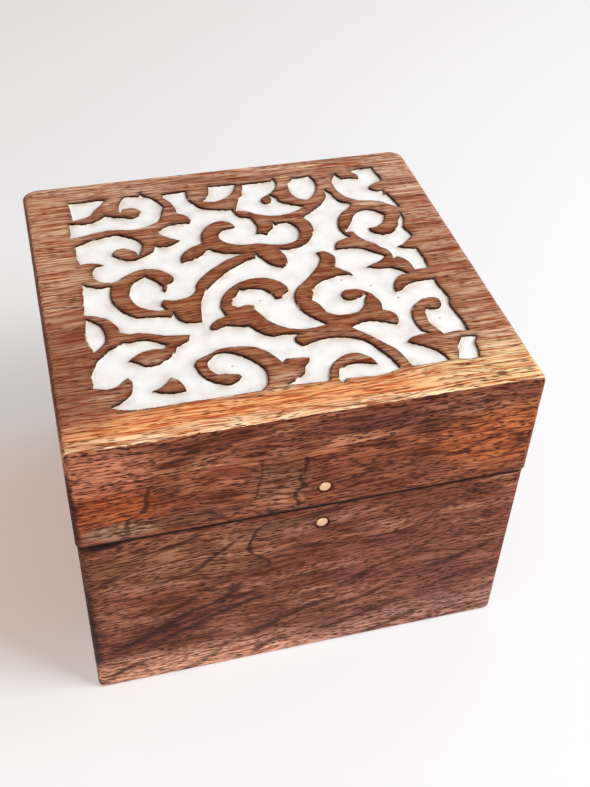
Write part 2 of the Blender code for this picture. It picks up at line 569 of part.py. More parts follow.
# Back edges
# The barrels lie flush in the back, so the edges behind the hinge axis are planed off. The two
# slopes come together when the lid is fully open, and stop it there.
stop_slope = math.tan(math.radians(lid_opening / 2 + stop_clearance))
slope_length = 2 * (lid_side + overrun)
slope_reach = barrel_radius + lid_overhang + overrun
for wall, way in ((base_back_wall, -1), (lid_back_wall, 1)):
    # Drawn with X for height and Y for depth, and laid along the back edge
    wedge = [(0, 0), (-way * overrun, 0), (-way * overrun, slope_reach),
             (way * slope_reach * stop_slope, slope_reach)]
    planing = stacked([([(-height, depth) for height, depth in wedge], z) for z in (0, slope_length)])
    combine(wall, add_tool(wall.name + "_slope", planing, (-slope_length / 2, hinge_y, hinge_z), along_x))

# Hinges
# Two brass butt hinges, their leaves let into the rims of the back boards. The lower leaf carries the
# two end knuckles, the upper leaf the one between them, and a pin runs through all three.
end = hinge_length / 2
gap_start = end - end_knuckle_length
end_knuckles = [(-end, -gap_start), (gap_start, end)]
middle_knuckle = [(-gap_start + running_clearance, gap_start - running_clearance)]
leaf_face = seam_gap / 2
leaf_back = leaf_face + leaf_thickness
pin_radius = hinge_pin_diameter / 2
half_step = 180 / turned_steps
head_radius = screw_head_diameter / 2
shank_radius = screw_shank_diameter / 2


def screw_shape():
    """A countersunk screw from its tip up to its head, which lies at Z = 0."""
    return turned([(0, -screw_length), (shank_radius, shank_radius - screw_length),
                   (shank_radius, -screw_head_height), (head_radius, 0), (0, 0)])


def screw_hole_shape():
    """Clearance for a countersunk screw, whose cone widens on above the leaf's face."""
    depth = -screw_length - screw_clearance
    wide = head_radius + screw_clearance
    narrow = shank_radius + screw_clearance
    widest = wide + leaf_face * (wide - narrow) / screw_head_height
    return turned([(0, depth), (narrow, depth), (narrow, -screw_head_height),
                   (widest, leaf_face), (0, leaf_face)])


def add_hinge(hinge, x):
    """One hinge with its axis at the seam, centred at x."""
    axis = (x, hinge_y, hinge_z)

    def barrel(label, radius, low, high, start=0):
        return add_tool(hinge + label, round_bar(radius, low, high, start), axis, along_x)

    bore = barrel("_bore", pin_radius + running_clearance, -end - overrun, end + overrun, half_step)
    clear_end = end + running_clearance
    recess = barrel("_recess", barrel_radius + running_clearance, -clear_end, clear_end)
    for level, way, parent, wall, own, other in (
            ("lower", -1, None, base_back_wall, end_knuckles, middle_knuckle),
            ("upper", 1, lid_axis, lid_back_wall, middle_knuckle, end_knuckles)):
        name = hinge + "_" + level
        low, high = sorted((way * leaf_face, way * leaf_back))
        side = end - leaf_set_back
        flat_leaf = block((-side, -leaf_reach, low), (side, -leaf_set_back, high))
        leaf = add_piece(name + "_leaf", flat_leaf, brass, axis, parent)
        for k, (start, stop) in enumerate(other):
            room = running_clearance + leaf_set_back
            clear_bar = barrel(name + "_clearance_" + str(k), barrel_radius + running_clearance,
                               start - room, stop + room, half_step)
            combine(leaf, clear_bar)
        for k, (start, stop) in enumerate(own):
            combine(leaf, barrel(name + "_knuckle_" + str(k), barrel_radius, start, stop), "UNION")
        combine(leaf, bore)

        low, high = sorted((way * (leaf_back + leaf_bedding), -way * overrun))
        bed = block((-clear_end, -leaf_reach - running_clearance, low), (clear_end, 0, high))
        combine(wall, recess)
        combine(wall, add_tool(name + "_bed", bed, axis))
        for k, across in enumerate((-screw_spacing / 2, screw_spacing / 2)):
            place = (x + across, hinge_y - screw_reach, hinge_z + way * leaf_face)
            turn = upside_down if way > 0 else (0, 0, 0)
            hole = add_tool(name + "_screw_hole_" + str(k), screw_hole_shape(), place, turn)
            combine(leaf, hole)
            combine(wall, hole)
            add_piece(name + "_screw_" + str(k + 1), screw_shape(), brass, place, parent, turn, smooth=True)
    add_piece(hinge + "_pin", round_bar(pin_radius, -end, end), brass, axis, rotation=along_x, smooth=True)


add_hinge("left_hinge", -hinge_spacing / 2)
add_hinge("right_hinge", hinge_spacing / 2)

# Catch
# The upper pin goes through the lid's front board and is riveted over a brass spring strip. The strip
# hangs below the seam as a fork, open at the bottom, which slides over the neck of the lower pin.
catch_radius = catch_pin_diameter / 2
neck_radius = neck_diameter / 2
strip_half = strip_width / 2
slot_half = neck_radius + running_clearance
strip_back = inner_front + strip_seat + strip_thickness
catch_z = hinge_z + catch_pin_rise
strike_z = hinge_z - strike_pin_drop
fork_end = strike_z - fork_reach


def pin_shape(face, shoulder, neck, head):
    """A pin from its domed outer face inwards: its shank, its neck and its inner head."""
    dome_radius = (catch_radius ** 2 + catch_pin_dome ** 2) / (2 * catch_pin_dome)
    half_angle = math.asin(catch_radius / dome_radius)
    dome = [(dome_radius * math.sin(half_angle * k / dome_steps),
             dome_radius * (1 - math.cos(half_angle * k / dome_steps))) for k in range(dome_steps + 1)]
    neck_end = strip_back + strip_seat - face
    head_end = neck_end + inner_head_height
    return turned(dome + [(catch_radius, shoulder - face), (neck, shoulder - face), (neck, neck_end),
                          (head, neck_end), (head, head_end), (0, head_end)])


rivet_shoulder = inner_front + strip_seat / 2
add_piece("catch_pin", pin_shape(lid_front, rivet_shoulder, catch_radius, rivet_head_diameter / 2), brass,
          (catch_offset, lid_front, catch_z), lid_axis, along_y, smooth=True)
strike_shoulder = inner_front - catch_relief_depth
add_piece("strike_pin", pin_shape(base_front, strike_shoulder, neck_radius, strike_head_diameter / 2), brass,
          (catch_offset, base_front, strike_z), None, along_y, smooth=True)
for wall, face, height in ((lid_front_wall, lid_front, catch_z), (base_front_wall, base_front, strike_z)):
    hole = round_bar(catch_radius + pin_hole_clearance, -overrun, inner_front - face + overrun)
    combine(wall, add_tool(wall.name + "_pin_hole", hole, (catch_offset, face, height), along_y))

# The strip is drawn round the upper pin's centre, with its height along Y, and stood up
strike_y = strike_z - catch_z
mouth_y = fork_end - catch_z
flare_top = mouth_y + 2 * fork_flare
strip_outline = arc(0, 0, strip_half, 0, 180, arc_steps)
strip_outline += [(-strip_half, mouth_y), (-slot_half - fork_flare, mouth_y), (-slot_half, flare_top)]
strip_outline += arc(0, strike_y, slot_half, 180, 0, arc_steps)
strip_outline += [(slot_half, flare_top), (slot_half + fork_flare, mouth_y), (strip_half, mouth_y)]
rivet_hole = arc(0, 0, catch_radius + pin_hole_clearance, 0, 360, turned_steps)[:-1]
add_piece("catch_spring", plate([strip_outline, rivet_hole], strip_thickness), brass,
          (catch_offset, strip_back, catch_z), lid_axis, (math.radians(90), 0, 0))

# A shallow relief in the base's front board clears the strip as it swings past
relief_half = strip_half + running_clearance
relief = block((-relief_half, -catch_relief_depth, fork_end - running_clearance),
               (relief_half, overrun, base_height + overrun))
combine(base_front_wall, add_tool("catch_relief", relief, (catch_offset, inner_front, 0)))
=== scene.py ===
"""Looks of an inlaid wooden jewelry box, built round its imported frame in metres."""

from functools import partial
import math

import bmesh
import bpy
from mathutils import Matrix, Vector, kdtree, noise
from mathutils.geometry import delaunay_2d_cdt


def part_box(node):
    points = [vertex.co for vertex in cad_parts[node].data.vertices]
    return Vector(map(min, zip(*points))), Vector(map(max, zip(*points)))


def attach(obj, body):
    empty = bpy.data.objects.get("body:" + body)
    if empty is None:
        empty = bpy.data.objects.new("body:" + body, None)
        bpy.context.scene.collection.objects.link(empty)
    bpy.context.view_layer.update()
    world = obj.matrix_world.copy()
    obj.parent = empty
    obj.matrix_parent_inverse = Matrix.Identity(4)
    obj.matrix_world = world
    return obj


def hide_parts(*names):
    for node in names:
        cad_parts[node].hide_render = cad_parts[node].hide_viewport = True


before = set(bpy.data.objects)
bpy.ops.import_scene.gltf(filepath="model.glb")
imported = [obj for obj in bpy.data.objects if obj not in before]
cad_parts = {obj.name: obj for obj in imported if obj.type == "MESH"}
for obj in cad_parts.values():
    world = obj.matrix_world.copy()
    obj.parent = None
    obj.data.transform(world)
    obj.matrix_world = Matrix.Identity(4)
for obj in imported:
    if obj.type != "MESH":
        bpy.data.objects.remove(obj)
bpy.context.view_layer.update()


# Camera
# It stands a little to the left of the box and well above it, and so near that the box's sides
# draw together towards the table.
scene = bpy.context.scene


def new_object(name, data):
    """An object with its data, put in the scene."""
    made = bpy.data.objects.new(name, data)
    scene.collection.objects.link(made)
    return made


camera_lens = bpy.data.cameras.new("camera")
camera_lens.lens = 49.59
camera_lens.clip_start = 0.01
camera_place = (-0.05009, -0.20071, 0.23256)
camera_turns = (47.626, -1.816, -14.941)
camera = new_object("camera", camera_lens)
camera.location = camera_place
camera.rotation_euler = [math.radians(turn) for turn in camera_turns]
scene.camera = camera
scene.view_settings.view_transform = "Standard"


# Table and light
# A pale table top under soft daylight: a large window to the right, a white wall behind the viewer,
# and a warm pale room all round.
def linear(code):
    """An sRGB hex colour as the linear colour that a shader takes."""
    channels = [int(code[k:k + 2], 16) / 255 for k in (0, 2, 4)]
    return (*[c / 12.92 if c <= 0.04045 else ((c + 0.055) / 1.055) ** 2.4 for c in channels], 1.0)


def add_node(tree, kind, sockets=None, **settings):
    """Adds a node with its settings. A value that is another node's socket is linked, and a node given as
    a value stands for its first output."""
    node = tree.nodes.new(kind)
    for name, value in settings.items():
        setattr(node, name, value)
    for name, value in (sockets or {}).items():
        if isinstance(value, bpy.types.Node):
            tree.links.new(value.outputs[0], node.inputs[name])
        elif isinstance(value, bpy.types.NodeSocket):
            tree.links.new(value, node.inputs[name])
        else:
            node.inputs[name].default_value = value
    return node


def new_material(name):
    """An empty node material, and add_node bound to its tree."""
    material = bpy.data.materials.new(name)
    material.use_nodes = True
    material.node_tree.nodes.clear()
    return material, partial(add_node, material.node_tree)


table_size = 4.0
half = table_size / 2
table_mesh = bpy.data.meshes.new("table")
table_mesh.from_pydata(
    [(-half, -half, 0), (half, -half, 0), (half, half, 0), (-half, half, 0)], [], [(0, 1, 2, 3)])
table = new_object("table", table_mesh)

# White laminate: matt, and a touch greyer towards the back left in painted shade, where the window reaches
# less
laminate, add = new_material("white_laminate")
table_far_reach = 0.55
place = add("ShaderNodeTexCoord").outputs["Object"]
far_left = add("ShaderNodeVectorMath", {0: place, 1: (-0.75, 0.66, 0)}, operation="DOT_PRODUCT")
painted_falloff_share = add("ShaderNodeMapRange", {
    "Value": far_left.outputs["Value"], "From Min": -0.02, "From Max": table_far_reach})
pale = add("ShaderNodeMix", {0: painted_falloff_share, 6: linear("fcfdfe"), 7: linear("cacaca")}, data_type="RGBA")
# Painted warm shade and bounce light on the laminate close to the box's left side, darker and warmer there
painted_shade_spot = (-0.066, 0.0, 0.0)
painted_shade_reach, painted_shade_core = 0.075, 0.015
beside = add("ShaderNodeVectorMath", {0: place, 1: painted_shade_spot}, operation="DISTANCE")
painted_shade_share = add("ShaderNodeMapRange", {
    "Value": beside.outputs["Value"], "From Min": painted_shade_reach, "From Max": painted_shade_core, "To Max": 0.7},
    interpolation_type="SMOOTHSTEP")
pale = add("ShaderNodeMix", {0: painted_shade_share, 6: pale.outputs[2], 7: linear("f2c8b2")}, data_type="RGBA")
matt = add("ShaderNodeBsdfDiffuse", {"Color": linear("f7f6f5")})
glow = add("ShaderNodeEmission", {"Color": pale.outputs[2], "Strength": 1.0})


def looked_at(add, strength):
    """The strength for what the camera sees, also by way of a gloss, and none for what lights the box."""
    rays = add("ShaderNodeLightPath")
    straight = add("ShaderNodeMath", {
        0: rays.outputs["Is Camera Ray"], 1: rays.outputs["Is Glossy Ray"]}, operation="MAXIMUM")
    return add("ShaderNodeMath", {0: straight, 1: strength}, operation="MULTIPLY")


mixed = add("ShaderNodeMixShader", {0: looked_at(add, 0.4), 1: matt, 2: glow})
add("ShaderNodeOutputMaterial", {"Surface": mixed})
table_mesh.materials.append(laminate)

room = bpy.data.worlds.new("pale_room")
room.use_nodes = True
room.node_tree.nodes.clear()
add = partial(add_node, room.node_tree)
daylight = add("ShaderNodeBackground", {"Color": linear("fff0e6"), "Strength": 0.44})
backdrop = add("ShaderNodeBackground", {"Color": linear("e8e6e4"), "Strength": 1.0})
room_seen = add("ShaderNodeMixShader", {0: looked_at(add, 1.0), 1: daylight, 2: backdrop})
add("ShaderNodeOutputWorld", {"Surface": room_seen})
scene.world = room

box_middle = Vector((0, 0, 0.04))
for name, spot, size, power, tint in (
        ("window", (0.72, -0.42, 0.80), 0.55, 12.5, "f0f7ff"),
        ("white_wall", (-0.2, -1.0, 0.35), 0.7, 2.2, "ffffff")):
    lamp = bpy.data.lights.new(name, "AREA")
    lamp.size = size
    lamp.energy = power
    lamp.color = linear(tint)[:3]
    holder = new_object(name, lamp)
    holder.location = spot
    holder.rotation_euler = (box_middle - Vector(spot)).to_track_quat("-Z", "Y").to_euler()

# Base boards
# Open-pored Indian rosewood, planed, sanded by hand and waxed: a full-width front and back board,
# two side boards glued between them, and a thin bottom board glued on from below.
mm = 0.001


def grain(
        add, place, palette, pore_colour, along_y=False, tilt=0.0, start=(0, 0, 0), warp=1.5,
        bands=(40, 3.5), fibres=(9, 0.32), fibre_tint="b08c78", pores=(3.4, 0.55), pore_share=0.9,
        rings=None, lines=(), patches=(), rim=None):
    """Colour and relief of sawn wood whose grain runs along X; every size is in millimetres.

    The palette runs from dark to light. Bands, fibres and pores are a length and a thickness. Rings are
    their gap, half width, sway, size of the sway, direction, strength and colour. A line is its half
    width, strength and course, as rising pairs of Z and X. A patch is its centre, reach, tint and
    strength. A rim is the height where the painted seam shade begins and the one where it is full."""
    laid = add("ShaderNodeMapping", {
        "Vector": place, "Location": start, "Scale": (1 / mm, 1 / mm, 1 / mm),
        "Rotation": (0, math.radians(tilt), math.radians(90 if along_y else 0))})
    # The grain wanders by a few millimetres over a few centimetres
    drift = add("ShaderNodeTexNoise", {"Vector": laid, "Scale": 1 / 30, "Detail": 1.0})
    centred = add("ShaderNodeVectorMath", {
        0: drift.outputs["Color"], 1: (-0.5, -0.5, -0.5)}, operation="ADD")
    flow = add("ShaderNodeVectorMath", {
        0: centred, 1: (warp, 2 * warp, 2 * warp), 2: laid}, operation="MULTIPLY_ADD")

    # Each pattern's cells are longer along the grain than across it
    crowds = (9, 4)
    band_cells, fibre_cells, pore_cells, crowd_cells = [
        add("ShaderNodeVectorMath", {
            0: flow, 1: (1 / length, 1 / width, 1 / width)}, operation="MULTIPLY")
        for length, width in (bands, fibres, pores, crowds)]
    band = add("ShaderNodeTexNoise", {"Vector": band_cells, "Scale": 1.0, "Detail": 3.0, "Roughness": 0.55})
    ramp = add("ShaderNodeValToRGB", {"Fac": band})
    ramp.color_ramp.elements[0].position = 0.32
    ramp.color_ramp.elements[0].color = linear(palette[0])
    ramp.color_ramp.elements[1].position = 0.68
    ramp.color_ramp.elements[1].color = linear(palette[2])
    ramp.color_ramp.elements.new(0.50).color = linear(palette[1])
    tone = ramp

    # Broad patches of another tone, soft at their rims
    for centre, reach, tint, share in patches:
        near = add("ShaderNodeMapping", {
            "Vector": place, "Location": [c * mm for c in centre], "Scale": [r * mm for r in reach]},
            vector_type="TEXTURE")
        away = add("ShaderNodeVectorMath", {0: near}, operation="LENGTH").outputs["Value"]
        uneven = add("ShaderNodeMath", {0: band, 1: 0.9, 2: away}, operation="MULTIPLY_ADD")
        inside = add("ShaderNodeMapRange", {
            "Value": uneven, "From Min": 1.6, "From Max": 0.9, "To Max": share},
            interpolation_type="SMOOTHSTEP")
        tone = add("ShaderNodeMix", {0: inside, 6: tone, 7: linear(tint)}, data_type="RGBA").outputs[2]

    # Growth rings: soft dark bands, which sway across the face, fade in places and hold more pores
    dark_bands = 0.0
    if rings:
        gap, half_width, sway, sway_size, outward, strength, ring_colour = rings
        swell = add("ShaderNodeTexNoise", {"Vector": flow, "Scale": 1 / sway_size, "Roughness": 0.4})
        rise = add("ShaderNodeVectorMath", {0: flow, 1: outward}, operation="DOT_PRODUCT")
        level = add("ShaderNodeMath", {
            0: swell, 1: sway, 2: rise.outputs["Value"]}, operation="MULTIPLY_ADD")
        turns = add("ShaderNodeMath", {0: level, 1: gap}, operation="DIVIDE")
        share = add("ShaderNodeMath", {0: turns, 1: 0.5}, operation="PINGPONG")
        soft = add("ShaderNodeMapRange", {
            "Value": share, "From Min": half_width / gap, "From Max": 0.0},
            interpolation_type="SMOOTHSTEP")
        patchy = add("ShaderNodeTexNoise", {"Vector": flow, "Scale": 1 / 9, "Detail": 1.0})
        kept = add("ShaderNodeMapRange", {
            "Value": patchy, "From Min": 0.34, "From Max": 0.60, "To Max": strength})
        dark_bands = add("ShaderNodeMath", {0: soft, 1: kept}, operation="MULTIPLY")
        tone = add("ShaderNodeMix", {
            0: dark_bands, 6: tone, 7: linear(ring_colour)}, data_type="RGBA").outputs[2]

    # Single dark growth lines, each with its own course up the board
    shiver_size = 1.5
    if lines:
        apart = add("ShaderNodeSeparateXYZ", {0: place})
        shiver = add("ShaderNodeTexNoise", {"Vector": laid, "Scale": 1 / 2.2})
        across = add("ShaderNodeMath", {
            0: shiver, 1: shiver_size * mm, 2: apart.outputs["X"]}, operation="MULTIPLY_ADD")
    for half_width, strength, course in lines:
        low, high = course[0][0], course[-1][0]
        left, right = min(x for z, x in course), max(x for z, x in course)
        climbed = add("ShaderNodeMapRange", {
            "Value": apart.outputs["Z"], "From Min": low * mm, "From Max": high * mm})
        curve = add("ShaderNodeFloatCurve", {"Value": climbed})
        bends = curve.mapping.curves[0].points
        spots = [((z - low) / (high - low), (x - left) / (right - left)) for z, x in course]
        bends[0].location, bends[1].location = spots[0], spots[-1]
        for spot in spots[1:-1]:
            bends.new(*spot)
        curve.mapping.update()
        here = add("ShaderNodeMapRange", {
            "Value": curve, "To Min": (left + shiver_size / 2) * mm,
            "To Max": (right + shiver_size / 2) * mm})
        beside = add("ShaderNodeMath", {0: across, 1: here}, operation="SUBTRACT")
        off = add("ShaderNodeMath", {0: beside}, operation="ABSOLUTE")
        inked = add("ShaderNodeMapRange", {
            "Value": off, "From Min": half_width * mm, "From Max": 0.2 * half_width * mm,
            "To Max": strength}, interpolation_type="SMOOTHSTEP")
        ends = add("ShaderNodeMath", {0: climbed, 1: 0.5}, operation="PINGPONG")
        faded = add("ShaderNodeMapRange", {"Value": ends, "From Max": 0.12})
        amount = add("ShaderNodeMath", {0: inked, 1: faded}, operation="MULTIPLY")
        dark_bands = add("ShaderNodeMath", {0: amount, 1: dark_bands}, operation="MAXIMUM")
        tone = add("ShaderNodeMix", {0: amount, 6: tone, 7: linear("40180c")}, data_type="RGBA").outputs[2]

    fibre = add("ShaderNodeTexNoise", {"Vector": fibre_cells, "Scale": 1.0, "Roughness": 0.6})
    streak = add("ShaderNodeMapRange", {"Value": fibre, "From Min": 0.38, "From Max": 0.58})
    shade = add("ShaderNodeMix", {0: streak, 6: linear(fibre_tint), 7: linear("ffffff")}, data_type="RGBA")
    tone = add("ShaderNodeMix", {
        0: 1.0, 6: tone, 7: shade.outputs[2]}, data_type="RGBA", blend_type="MULTIPLY").outputs[2]

    # Open pores: dashes along the grain, which gather in some places and are missing in others
    cells = add("ShaderNodeTexVoronoi", {"Vector": pore_cells, "Scale": 1.0})
    crowd = add("ShaderNodeTexNoise", {"Vector": crowd_cells, "Scale": 1.0})
    room_for = add("ShaderNodeMapRange", {
        "Value": crowd, "From Min": 0.30, "From Max": 0.62, "To Max": pore_share})
    chosen = add("ShaderNodeSeparateColor", {0: cells.outputs["Color"]})
    crowded = add("ShaderNodeMath", {0: dark_bands, 1: 0.5, 2: room_for}, operation="MULTIPLY_ADD")
    open_here = add("ShaderNodeMath", {0: chosen, 1: crowded}, operation="LESS_THAN")
    dash = add("ShaderNodeMapRange", {"Value": cells, "From Min": 0.46, "From Max": 0.26})
    pore = add("ShaderNodeMath", {0: dash, 1: open_here}, operation="MULTIPLY")
    tone = add("ShaderNodeMix", {0: pore, 6: tone, 7: linear(pore_colour)}, data_type="RGBA").outputs[2]

    # Painted shade along the seam between lid and base, strongest on the outermost part of a rim
    if rim:
        rag = 0.8
        box_half_width, box_half_depth = 51.1 * mm, 48.7 * mm
        height = add("ShaderNodeSeparateXYZ", {0: place}).outputs["Z"]
        ragged = add("ShaderNodeMath", {0: band, 1: rag * mm, 2: height}, operation="MULTIPLY_ADD")
        seam_shade = add("ShaderNodeMapRange", {
            "Value": ragged, "From Min": (rim[0] + rag / 2) * mm, "From Max": (rim[1] + rag / 2) * mm})
        outward = add("ShaderNodeVectorMath", {0: place}, operation="ABSOLUTE")
        shares = add("ShaderNodeVectorMath", {
            0: outward, 1: (1 / box_half_width, 1 / box_half_depth, 0)}, operation="MULTIPLY")
        sides = add("ShaderNodeSeparateXYZ", {0: shares})
        outermost = add("ShaderNodeMath", {
            0: sides.outputs["X"], 1: sides.outputs["Y"]}, operation="MAXIMUM")
        toward_outer_face = add("ShaderNodeMapRange", {
            "Value": outermost, "From Min": 0.965, "From Max": 0.992, "To Min": 0.25, "To Max": 0.92})
        seam_shade = add("ShaderNodeMath", {0: seam_shade, 1: toward_outer_face}, operation="MULTIPLY")
        tone = add("ShaderNodeMix", {0: seam_shade, 6: tone, 7: linear("160704")}, data_type="RGBA").outputs[2]

    relief = add("ShaderNodeMath", {0: pore, 1: -1.0, 2: streak}, operation="MULTIPLY_ADD")
    return tone, relief


def waxed(add, tone, relief, roughness=0.55):
    """The wax finish over a wood's colour: a soft gloss that the open pores break up."""
    pore_depth = 0.10
    bump = add("ShaderNodeBump", {"Height": relief, "Strength": 0.5, "Distance": pore_depth * mm})
    shader = add("ShaderNodeBsdfPrincipled", {
        "Base Color": tone, "Roughness": roughness, "Specular IOR Level": 0.12, "Normal": bump})
    add("ShaderNodeOutputMaterial", {"Surface": shader})


def rosewood(name, **choices):
    """One board's wood."""
    material, add = new_material(name)
    place = add("ShaderNodeTexCoord").outputs["Object"]
    tone, relief = grain(add, place, **choices)
    waxed(add, tone, relief)
    return material


weld = 1e-6
flat_turn = math.radians(0.5)
sharp_turn = math.radians(35)


def merged(node):
    """A CAD node's shape as one closed shell, with its flat faces made whole."""
    shape = bmesh.new()
    shape.from_mesh(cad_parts[node].data)
    bmesh.ops.remove_doubles(shape, verts=shape.verts, dist=weld)
    bmesh.ops.dissolve_limit(shape, angle_limit=flat_turn, verts=shape.verts, edges=shape.edges)
    return shape


def set_out(name, mesh, body, slot, material, *nodes):
    """Puts a finished mesh in the scene, on its body and in place of its CAD nodes."""
    piece = new_object(name, mesh)
    mesh.materials.clear()
    mesh.materials.append(material)
    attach(piece, body)
    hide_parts(*nodes)
    return piece


def made_from(rough, name):
    """The plain mesh that a rough object's modifiers make. The object itself goes."""
    mesh = bpy.data.meshes.new_from_object(rough.evaluated_get(bpy.context.evaluated_depsgraph_get()))
    mesh.name = name
    bpy.data.objects.remove(rough)
    mesh.shade_smooth()
    mesh.set_sharp_from_angle(angle=sharp_turn)
    return mesh


def eased_copy(node, name, body, slot, material, edge):
    """A piece in the node's own shape, its sharp edges worn down by a bevel."""
    shape = merged(node)
    mesh = bpy.data.meshes.new(name)
    shape.to_mesh(mesh)
    shape.free()
    rough = new_object(name + "_rough", mesh)
    bevel = rough.modifiers.new("worn_edges", "BEVEL")
    bevel.width = edge
    bevel.segments = 2
    bevel.limit_method = "ANGLE"
    bevel.angle_limit = sharp_turn
    set_out(name, made_from(rough, name), body, slot, material, node)


# Heights between which painted seam shade darkens the base boards towards their top edge
base_seam_shade = (52.3, 52.75)
side_rings = (8.0, 1.3, 20, 30, (0.2, 0, 0.98), 0.7, "43180e")
back_rings = (9.0, 1.4, 24, 34, (-0.25, 0, 0.97), 0.7, "43180e")
base_lines = (
    (0.8, 0.8, (
        (34.3, -9.6), (36.7, -9.3), (39.2, -11.5), (42.7, -13.8), (47.1, -12.9), (50.1, -10.2),
        (51.9, -7.7))),
    (3.0, 0.85, (
        (12.5, -48.5), (14.5, -44.5), (16.8, -39.9), (20.5, -33.3), (23.7, -28.0), (26.3, -20.2),
        (32.0, -15.9))),
    (3.0, 0.75, ((12.7, -38.0), (14.7, -34.4), (19.0, -25.8), (23.0, -16.1), (25.3, -6.8))),
    (3.0, 0.65, ((9.0, -16.0), (13.0, -8.0), (17.0, 2.0), (19.5, 12.0))))
# The three near-black patches are painted shade: a ring round the lower pin, the base's rounded left
# corner, and the left end of the seam under the lid
base_patches = (
    ((3, -48.7, 46.8), (2.1, 4, 2.1), "230a04", 0.9), ((-52, -49.5, 24), (3.2, 4, 34), "1a0805", 0.92),
    ((-45.5, -48.5, 52.4), (4.2, 4, 1.6), "1a0805", 0.95), ((-30, -49, 42), (26, 9, 10), "a07452", 0.5),
    ((-8, -49, 47), (16, 9, 4), "98745e", 0.3), ((-30, -49, 2), (46, 20, 9), "e8ac8e", 0.95),
    ((34, -49, 2), (36, 20, 11), "cc9a8a", 0.9), ((30, -49, 22), (34, 9, 24), "92584a", 0.5))
base_front_wood = rosewood(
    "rosewood_base_front", palette=("683422", "8a513a", "b47c62"), pore_colour="2e0b05", tilt=2.0, warp=2.5,
    bands=(26, 4.0), fibres=(7, 0.5), fibre_tint="a27c6a", pores=(2.4, 0.42), pore_share=1.7,
    rings=(8.5, 1.4, 26, 40, (-0.36, 0, 0.93), 0.8, "451a10"), lines=base_lines, rim=base_seam_shade,
    patches=base_patches)
base_side_wood = rosewood(
    "rosewood_base_side", palette=("66361f", "8a553c", "a97a5e"), pore_colour="3d140b", along_y=True,
    start=(0, 310, 0), rings=side_rings, rim=base_seam_shade)
base_back_wood = rosewood(
    "rosewood_base_back", palette=("633425", "84523d", "a27358"), pore_colour="3d140b", start=(570, 0, 0),
    rings=back_rings, rim=base_seam_shade)
board_edge = 0.25 * mm


def join_frame(body, front, back, side):
    """The four boards of the base or the lid, each in its own wood."""
    for place, wood in (("front", front), ("back", back), ("left", side), ("right", side)):
        eased_copy(f"{body}_{place}_wall", f"{body}_{place}_board", body, "side_wood", wood, board_edge)


eased_copy("base_bottom_board", "base_bottom", "base", "side_wood", base_front_wood, board_edge)
join_frame("base", base_front_wood, base_back_wood, base_side_wood)

# Floor felt
# A sheet of black craft felt, cut to the inside of the base and laid on the bottom board.
felt, add = new_material("wool_felt")
place = add("ShaderNodeTexCoord").outputs["Object"]
# Matted fibres about 0.05 mm thick, drawn at 0.3 mm so that they show
fluff = add("ShaderNodeTexNoise", {"Vector": place, "Scale": 1 / (0.3 * mm), "Detail": 3.0})
matted = add("ShaderNodeMix", {0: fluff, 6: linear("100e0d"), 7: linear("322d2b")}, data_type="RGBA")
nap = add("ShaderNodeBump", {"Height": fluff, "Strength": 0.8, "Distance": 0.2 * mm})
cloth = add("ShaderNodeBsdfPrincipled", {
    "Base Color": matted.outputs[2], "Roughness": 0.95, "Specular IOR Level": 0.1, "Sheen Weight": 0.25,
    "Normal": nap})
add("ShaderNodeOutputMaterial", {"Surface": cloth})


def closed_mesh(shape, name, turn=None):
    """A closed shape's mesh: faces outwards, and smooth but for edges that turn more than a given angle."""
    bmesh.ops.recalc_face_normals(shape, faces=shape.faces)
    mesh = bpy.data.meshes.new(name)
    shape.to_mesh(mesh)
    shape.free()
    mesh.shade_smooth()
    if turn:
        mesh.set_sharp_from_angle(angle=turn)
    return mesh


def lay_felt(name, node, body):
    """A sheet in a lining's place, with soft edges and a surface that isn't quite flat."""
    low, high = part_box(node)
    pitch, swell, swell_size = 1.6 * mm, 0.12 * mm, 7 * mm
    columns, rows = (max(2, round((high[i] - low[i]) / pitch)) for i in (0, 1))
    shape = bmesh.new()
    across = [low.x + (high.x - low.x) * i / columns for i in range(columns + 1)]
    along = [low.y + (high.y - low.y) * j / rows for j in range(rows + 1)]
    upper, lower = [[[shape.verts.new((x, y, z)) for x in across] for y in along] for z in (high.z, low.z)]
    for sheet in (upper, lower):
        for j in range(rows):
            for i in range(columns):
                shape.faces.new((sheet[j][i], sheet[j][i + 1], sheet[j + 1][i + 1], sheet[j + 1][i]))
    rim = [(0, i) for i in range(columns)] + [(j, columns) for j in range(rows)]
    rim += [(rows - j, columns - i) for j, i in rim]
    for (j, i), (next_j, next_i) in zip(rim, rim[1:] + rim[:1]):
        shape.faces.new((upper[j][i], upper[next_j][next_i], lower[next_j][next_i], lower[j][i]))
    for point in shape.verts:
        lift = swell * (noise.noise(point.co / swell_size) - 1)
        point.co.z += lift if point.co.z > (low.z + high.z) / 2 else -lift
    piece = set_out(name, closed_mesh(shape, name), body, "black_felt", felt, node)


lay_felt("floor_felt", "base_floor_lining", "base")
